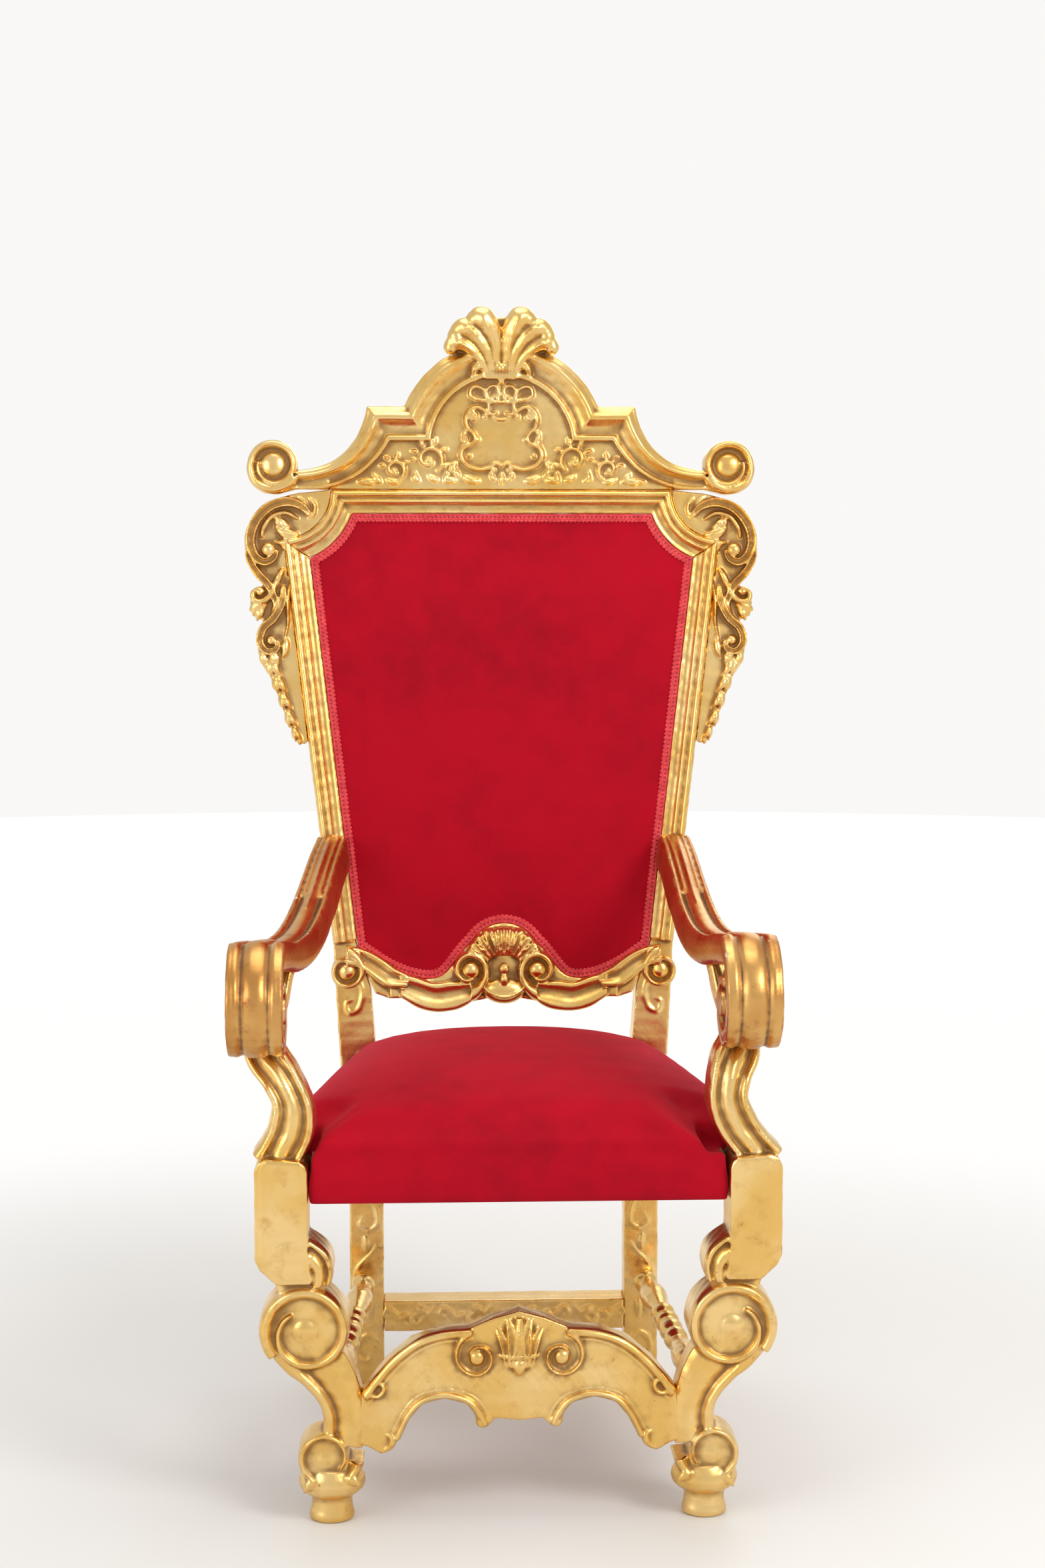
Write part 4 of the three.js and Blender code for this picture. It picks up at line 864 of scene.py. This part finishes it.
def makeLegs():
    bm = bmesh.new()
    support = through(leg["support"])

    def fluted(u, v, t):
        at, side = support(t), sideways(lambda s: support(s)[:, :2], t)
        wide, deep = spread([60, 54, 52, 51, 50], t), spread([54, 52, 46, 40], t)
        twist = 1 + 0.04 * np.cos(t * 22)
        return np.column_stack([at[:, :2] + side * (wide * u * twist)[:, None], at[:, 2] + deep * v])
    drawnForm(bm, leg["fluted"], 60, fluted)
    half = leg["blockHalf"]
    block = [(266, 345), (266, 458), (269, 466), (276, 471), (318, 475), (328, 470), (333, 460), (333, 345), (327, 333), (306, 314), (262, 314)]
    plate(bm, block, -half, half - 1.5)
    face = [(267.5, 350), (267.5, 457), (275, 469), (316, 472), (324, 466), (325, 458), (325, 350), (318, 338), (302, 320), (267.5, 322)]
    plate(bm, face, half - 4, half)
    outerLeaf, innerLeaf = through([(264, 372), (241, 354), (234, 332), (238, 312)]), through([(290, 352), (276, 343), (263, 330), (262, 308)])
    band(bm, bulge(34), 26, outerLeaf, innerLeaf)
    stroke(bm, [(268, 366, 22), (290, 366, 27), (310, 357, 26), (325, 340, 22)], [4, 8, 9, 5], [10, 11, 11, 8], "ridge")
    stroke(bm, [(262, 352, 26), (268, 336, 27), (262, 318, 25)], [4, 9, 8], [8, 10, 8], "bead")
    stroke(bm, [(282, 356, 24), (292, 344, 25), (286, 326, 25)], [4, 11, 8], [8, 9, 8], "bead")
    plate(bm, [(256, 300), (256, 352), (312, 352), (312, 324), (304, 300)], -26, 26)
    outer = through([(330, 246), (327, 236), (319, 224), (299, 200), (275, 180), (257, 160), (249, 140), (250, 112)])
    inner = through([(236, 244), (233, 236), (222, 222), (210, 200), (203, 180), (198, 155), (196, 125), (199, 96)])
    band(bm, bulge(27.5), 50, outer, inner)
    x, up = leg["knee"]
    disc(bm, x, up, 48, -27, 26)
    radii = [59, 58.5, 58, 57.5, 57, 56, 53, 49, 43, 36, 30]
    inside = [r - w for r, w in zip(radii, (25, 25, 25, 25, 24, 23, 21, 19, 16, 13, 10))]
    band(bm, voluteBand(34, 30), 76, whorl(x, up, -38, 415, radii), whorl(x, up, -38, 415, inside))
    ball(bm, x, up, 16, 21, 21, 15)
    x, up = leg["toe"]
    disc(bm, x, up, 30, -26, 25)
    radii = [49, 43, 38, 36, 35.5, 35, 34.5, 32, 28, 24]
    inside = [r - w for r, w in zip(radii, (22, 20, 18, 16, 15, 14, 13, 12, 10, 8))]
    band(bm, voluteBand(31, 29), 60, whorl(x, up, 188, 575, radii), whorl(x, up, 188, 575, inside))
    ball(bm, x, up, 15, 17.5, 17.5, 13)
    start = set(bm.verts)
    profile = [bm.verts.new((r, up, 0)) for r, up in leg["foot"]]
    edges = [bm.edges.new(pair) for pair in zip(profile, profile[1:])]
    bmesh.ops.spin(bm, geom=profile + edges, cent=(0, 0, 0), axis=(0, 1, 0), angle=2 * math.pi, steps=48, use_merge=True)
    turnedFoot = [v for v in bm.verts if v not in start]
    bmesh.ops.scale(bm, vec=(1.03, 1, 0.85), verts=turnedFoot)
    bmesh.ops.translate(bm, vec=(239, 0, 0), verts=turnedFoot)
    for x, up, angle, length, lean in ((222, 62, 210, 26, 30), (232, 60, 240, 24, 20), (246, 58, 280, 24, -20), (258, 60, 310, 26, -30)):
        leaf(bm, x, up, 27, angle, length, 12, lean, 5)
    carve({"scrollLegRight": "front_leg_right", "scrollLegLeft": "front_leg_left"}, bm, lambda co: racked(onFront(co)), voxel=1.55, keep=0.5)


makeLegs()


# Arms: ribbed, with a leaf at the back and a rolled hand-hold

arm = {
    "top": [(535, 822), (470, 812), (380, 789), (280, 758), (180, 738), (90, 736), (40, 745), (-10, 751)],
    "low": [(535, 762), (470, 755), (380, 732), (280, 704), (180, 692), (100, 692), (40, 702), (-10, 708)],
    "middle": [252, 256, 264, 276, 294, 309, 309], "half": 35, "eye": (-10, 661),
    "outer": [90, 85.5, 81, 74, 67, 59, 52, 49, 46, 43, 40, 36, 32], "inner": [47, 44.5, 42, 38, 34, 30, 26, 25, 24, 23, 22, 21, 20],
    "ribbed": [(-0.8, 0.02), (-0.95, 0.14), (-1, 0.36), (-0.99, 0.6), (-0.94, 0.8), (-0.84, 0.93), (-0.72, 0.97), (-0.61, 0.94),
               (-0.52, 0.86), (-0.44, 0.85), (-0.34, 0.94), (-0.18, 0.99), (0, 1), (0.18, 0.99), (0.34, 0.94), (0.44, 0.85),
               (0.52, 0.86), (0.61, 0.94), (0.72, 0.97), (0.84, 0.93), (0.94, 0.8), (0.99, 0.6), (1, 0.36), (0.95, 0.14), (0.8, 0.02)],
}


def makeArms():
    bm = bmesh.new()
    top, low = through(arm["top"]), through(arm["low"])
    eyeY, eyeUp = arm["eye"]
    curlOut, curlIn = whorl(eyeY, eyeUp, 90, 470, arm["outer"]), whorl(eyeY, eyeUp, 90, 470, arm["inner"])
    middle = through([(k, x) for k, x in enumerate(arm["middle"])])
    rows = {"arm": 70, "curl": 80}
    total = rows["arm"] + rows["curl"]

    def body(u, v, t):
        s = t * total
        onArm = (s <= rows["arm"])[:, None]
        a, c = np.clip(s / rows["arm"], 0, 1), np.clip((s - rows["arm"]) / rows["curl"], 0, 1)
        out, inn = np.where(onArm, top(a), curlOut(c)), np.where(onArm, low(a), curlIn(c))
        x = np.where(onArm[:, 0], middle(a * 0.84)[:, 1], arm["middle"][-1])
        half = np.where(onArm[:, 0], 26 + (arm["half"] - 26) * a * a, arm["half"])
        at = inn + (out - inn) * v[:, None]
        return np.column_stack([x + u * half, at[:, 1], -at[:, 0]])
    drawnForm(bm, arm["ribbed"], total, body)

    def sheath(u, v, t):  # the leaf that wraps the back third, pleated and cut to a point
        a = t * (0.43 - 0.09 * np.abs(u) ** 1.3 + 0.03 * np.cos(u * 9))
        out, inn = top(a), low(a)
        half = (26 + 9 * a * a) * 1.05
        pleat = 1 + 0.035 * np.cos(u * 15.5)
        at = inn + (out - inn) * (v * 1.05 * np.where(v > 0.5, pleat, 1) - 0.02)[:, None]
        return np.column_stack([middle(a * 0.84)[:, 1] + u * half, at[:, 1], -at[:, 0]])
    finely = [(-0.8, 0.02), (-0.97, 0.2), *[(math.sin(a), 0.42 + 0.56 * math.cos(a)) for a in np.radians(np.linspace(-90, 90, 41))],
              (0.97, 0.2), (0.8, 0.02)]
    drawnForm(bm, finely, 56, sheath)
    turn = Matrix.Translation((arm["middle"][-1], eyeUp, -eyeY)) @ Matrix.Rotation(math.radians(90), 4, "Y")
    for radius, half in ((46, arm["half"] - 6), (17, arm["half"] + 1)):
        bmesh.ops.create_cone(bm, cap_ends=True, segments=48, radius1=radius, radius2=radius, depth=2 * half, matrix=turn)
    rim = [(0, -8), (0, 3.5), (0.2, 5), (0.5, 4.6), (0.8, 1.4), (1, 0.6), (1, -8)]
    for k in (-1, 1):  # the spiral on each face of the hand-hold
        def face(u, v, t, k=k):
            outer, inner = curlOut(t * 0.98), curlIn(t * 0.98)
            at = outer + (inner - outer) * (0.06 + 0.42 * u)[:, None]
            return np.column_stack([arm["middle"][-1] + k * (arm["half"] - 4.5 + v), at[:, 1], -at[:, 0]])
        drawnForm(bm, rim, 70, face)
    carve({"armRight": "arm_right", "armLeft": "arm_left"}, bm, lambda co: racked(onFront(co)), voxel=1.5, keep=0.5,
          material=wornGilding)


makeArms()


# Stretchers

stretcher = {
    "top": [(0, 273), (33, 264), (62, 252), (105, 248), (138, 235), (170, 208), (200, 170)],
    "low": [(206, 104), (190, 98), (176, 90), (163, 100), (152, 108), (138, 137), (122, 154), (95, 161), (68, 154), (57, 140),
            (55, 128), (46, 123), (36, 128), (30, 134), (0, 131)],
    "turning": [(0, 12), (0.05, 12), (0.058, 15), (0.068, 17), (0.085, 17), (0.095, 15), (0.103, 12), (0.115, 10.5), (0.13, 11),
                (0.16, 15), (0.2, 18.6), (0.24, 19), (0.29, 16), (0.34, 12), (0.36, 10.8), (0.368, 13), (0.378, 16.4), (0.395, 17),
                (0.41, 14.5), (0.42, 11), (0.432, 11), (0.445, 15), (0.46, 17), (0.478, 16.6), (0.49, 13.5), (0.5, 12.6)],
}


def frontStretcherHalf(bm):
    def lift(points, by):
        return [(x * (1 - by / 300), up - by) for x, up in points]
    outside = stretcher["top"][2:]
    archEdge = [(152, 108), (138, 137), (122, 154), (95, 161), (68, 154), (56, 138), (46, 124)]
    archRim = [(166, 112), (150, 145), (128, 168), (95, 176), (62, 168), (42, 150), (36, 130)]
    rim = [(0, 2), (0, 22), (0.1, 26), (0.3, 29), (0.5, 28), (0.62, 24), (0.7, 22), (0.85, 24), (1, 20), (1, 2)]
    band(bm, rim, 36, through(outside), through(lift(outside, 17)))
    band(bm, rim, 40, through(archEdge), through(archRim))
    radii = [38, 31, 26, 24, 22, 20, 16, 12]
    band(bm, rim, 44, whorl(54, 214, 80, -330, radii), whorl(54, 214, 80, -330, [24, 21, 18, 17, 15, 13, 10, 7]))
    ball(bm, 54, 214, 22, 10, 10, 8)
    for points in ([(16, 200, 20), (20, 232, 21), (30, 256, 18)], [(10, 200, 21), (10, 236, 24), (14, 264, 20)]):
        stroke(bm, points, [4, 11, 8], [5, 8, 5], "gouge")
    stroke(bm, [(200, 168, 18), (180, 166, 21), (172, 176, 21), (180, 184, 20), (192, 178, 20)], [5, 7, 7, 6, 3], [5, 8, 8, 6, 4])
    stroke(bm, [(175, 92, 16), (163, 101, 19), (162, 112, 19), (170, 116, 18)], [6, 10, 9, 5], [6, 8, 8, 5])
    ball(bm, 46, 130, 20, 9, 8, 7)
    for x in range(12, 150, 14):  # diamond lattice cut in the ground between the rims
        for k in (-1, 1):
            low, high = (x - k * 12, 168), (x + k * 12, 202)
            if 0 < low[0] and high[0] < 150:
                stroke(bm, [(*low, 21.6), ((low[0] + high[0]) / 2, 185, 21.6), (*high, 21.6)], [1.6, 2, 1.6], [1.2, 1.4, 1.2], "ridge")


def makeStretchers():
    bm = bmesh.new()
    top, low = stretcher["top"], stretcher["low"]
    outline = [*top, *low, *[(-x, up) for x, up in low[-2::-1]], *[(-x, up) for x, up in top[:0:-1]]]
    plate(bm, outline, -6, 22)
    bothSides(bm, frontStretcherHalf)
    stroke(bm, [(0, 205, 20), (0, 240, 26), (0, 266, 22)], [6, 14, 10], [6, 10, 7], "veined")
    ball(bm, 0, 202, 22, 8, 12, 8)
    stroke(bm, [(-26, 216, 21), (0, 214, 24), (26, 216, 21)], [5, 6, 5], [4, 6, 4])
    carve({"carvedFrontStretcher": "front_stretcher"}, bm, onFront, voxel=1.3, keep=0.5)

    bm = bmesh.new()
    (x0, y0, z0), (x1, y1, z1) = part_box("rear_stretcher")
    plate(bm, [(x0 / mm, z0 / mm), (x1 / mm, z0 / mm), (x1 / mm, z1 / mm), (x0 / mm, z1 / mm)], -45, 0)
    for k in (-1, 1):
        for j, x in enumerate((20, 62, 104, 146)):
            wave = 1 if j % 2 else -1
            stroke(bm, [(k * x, 103 - wave * 14, 0), (k * (x + 16), 103 + wave * 4, 0), (k * (x + 28), 103 + wave * 12, 0),
                        (k * (x + 34), 103 + wave * 2, 0), (k * (x + 26), 103 - wave * 3, 0)], [2, 4, 5, 4, 2], [1, 1.8, 2, 2, 1])
            leaf(bm, k * (x + 12), 103 - wave * 4, 0, 90 + k * wave * 60, 18, 7, 30, 2)
    carve({"carvedRearStretcher": "rear_stretcher"}, bm, onBack, voxel=1.8, keep=0.5)

    half = stretcher["turning"]
    profile = half + [(1 - s, r) for s, r in half[-2::-1]]
    rear, front = Vector((206, backPlane / mm + 5, 161)), Vector((236, legPlane / mm + 12, 161))
    length = (rear - front).length
    bm = bmesh.new()
    verts = [bm.verts.new(p) for p in [(0, 0, 0), *[(r, 0, s * length) for s, r in profile], (0, 0, length)]]
    edges = [bm.edges.new(pair) for pair in zip(verts, verts[1:])]
    bmesh.ops.spin(bm, geom=verts + edges, cent=(0, 0, 0), axis=(0, 0, 1), angle=2 * math.pi, steps=40, use_merge=True)
    aim = Matrix.Translation(front) @ (rear - front).to_track_quat("Z", "Y").to_matrix().to_4x4()
    bmesh.ops.transform(bm, matrix=aim, verts=bm.verts)
    carve({"turnedStretcherRight": "side_stretcher_right", "turnedStretcherLeft": "side_stretcher_left"}, bm, lambda co: co * mm,
          voxel=1.4, keep=0.6)


makeStretchers()


# Velvet cushions: the stuffing swells under pressure and is held in by the frame

pads = {
    "backVelvet": {"node": "back_pad", "voxel": 0.006, "pressure": 1.2, "cap": 0.005, "fill": 0.55},
    "seatVelvet": {"node": "seat_pad", "voxel": 0.006, "pressure": 3.0, "cap": 0.010, "fill": 0.7},
}


def makePad(name, node, voxel, pressure, cap, fill):
    bm = bmesh.new()
    bm.from_mesh(frame["nodes"][node].data)
    bmesh.ops.remove_doubles(bm, verts=bm.verts, dist=1e-5)
    obj = newPiece(name, bm)
    stuff = obj.modifiers.new("stuff", "REMESH")
    stuff.mode, stuff.voxel_size = "VOXEL", voxel
    settle(obj)
    low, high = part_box(node)
    before = readPoints(obj.data)
    if node == "back_pad":  # held at its edge by the braid, flat at the back
        inward = np.minimum(before[:, 2] - low.z, high.z - before[:, 2])
        behind = backPlane + rake * np.maximum(0, before[:, 2] - rakeFrom) + 0.001
        held = (before[:, 1] > behind) | (inward < 0.02)
    else:
        held = before[:, 2] < low.z + 0.03
    group = obj.vertex_groups.new(name="held")
    group.add([int(i) for i in np.flatnonzero(held)], 1.0, "REPLACE")
    cloth = obj.modifiers.new("swell", "CLOTH")
    cloth.settings.use_pressure, cloth.settings.uniform_pressure_force = True, pressure
    cloth.settings.effector_weights.gravity = 0
    cloth.settings.vertex_group_mass = "held"
    for frameNumber in range(1, 21):
        bpy.context.scene.frame_set(frameNumber)
    settle(obj)
    moved = readPoints(obj.data) - before
    size = np.linalg.norm(moved, axis=1)
    obj.data.vertices.foreach_set("co", (before + moved * np.minimum(1, cap / np.maximum(size, 1e-9))[:, None]).ravel())
    smooth = obj.modifiers.new("smooth", "SMOOTH")
    smooth.factor, smooth.iterations = 0.5, 6
    settle(obj)
    markRelief(obj.data, voxel / mm)
    finer = obj.modifiers.new("finer", "SUBSURF")
    finer.levels = finer.render_levels = 1
    settle(obj)
    finishPiece(obj, node, velvet)
    print(name, len(obj.data.polygons), "faces")


for name, pad in pads.items():
    makePad(name, **pad)
seatFrame = frame["nodes"]["seat_frame"]
seatFrame.data.materials.clear()
seatFrame.data.materials.append(bareWood)


# Camera, light and floor

view = {"at": (-0.1282, -3.3565, 1.2102), "yaw": 2.48, "down": 4.98, "roll": 0.0, "lens": 56.63}
camera = bpy.data.objects.new("camera", bpy.data.cameras.new("camera"))
camera.data.lens, camera.data.sensor_width = view["lens"], 36
camera.data.clip_start, camera.data.clip_end = 0.05, 60
camera.location = view["at"]
camera.rotation_euler = (math.radians(90 - view["down"]), math.radians(view["roll"]), math.radians(-view["yaw"]))
bpy.context.scene.collection.objects.link(camera)
bpy.context.scene.camera = camera

studio = {
    "key": ((2.3, -2.5, 2.7), 1.6, 66, (1.0, 0.975, 0.94)),
    "fill": ((-2.7, -2.3, 1.7), 2.2, 30, (1.0, 0.98, 0.96)),
    "top": ((0.1, 0.2, 3.6), 2.4, 30, (1.0, 0.98, 0.95)),
    "back": ((0.8, 2.6, 2.2), 2.0, 12, (1.0, 0.99, 0.98)),
}
for name, (at, size, power, colour) in studio.items():
    lamp = bpy.data.objects.new(name, bpy.data.lights.new(name, "AREA"))
    lamp.data.shape, lamp.data.size, lamp.data.energy, lamp.data.color = "DISK", size, power, colour
    lamp.location = at
    lamp.rotation_euler = (Vector((0, 0, 0.8)) - Vector(at)).to_track_quat("-Z", "Y").to_euler()
    bpy.context.scene.collection.objects.link(lamp)

world = bpy.data.worlds.new("studio")
world.use_nodes = True
seen = world.node_tree.nodes.new("ShaderNodeLightPath")
glow = world.node_tree.nodes.new("ShaderNodeMapRange")  # the backdrop shows nearly white and lights more softly
glow.inputs[3].default_value, glow.inputs[4].default_value = 0.78, 0.95
world.node_tree.links.new(seen.outputs["Is Camera Ray"], glow.inputs[0])
world.node_tree.links.new(glow.outputs[0], world.node_tree.nodes["Background"].inputs[1])
world.node_tree.nodes["Background"].inputs[0].default_value = (1.0, 0.99, 0.975, 1)
bpy.context.scene.world = world
bpy.context.scene.view_settings.view_transform = "Standard"

floorMesh = bmesh.new()
bmesh.ops.create_circle(floorMesh, cap_ends=True, segments=96, radius=9)
floor = newPiece("floor", floorMesh)
paint = Finish("pale floor")
far = paint.ranged(paint.node("ShaderNodeVectorMath", {"operation": "LENGTH"}, {0: paint.place}, "Value"), 0.8, 2.1)
pale = paint.mixed(paint.noise(1.2), (0.70, 0.695, 0.68), (0.74, 0.735, 0.72))
paint.feed(paint.surface, {"Base Color": paint.mixed(far, pale, (0.0, 0.0, 0.0)), "Roughness": 0.5, "Emission Strength": 1.0,
                           "Specular IOR Level": 0.2, "Emission Color": paint.mixed(far, (0.0, 0.0, 0.0), (0.94, 0.93, 0.915))})
floor.data.materials.append(paint.material)

print("everything placed")
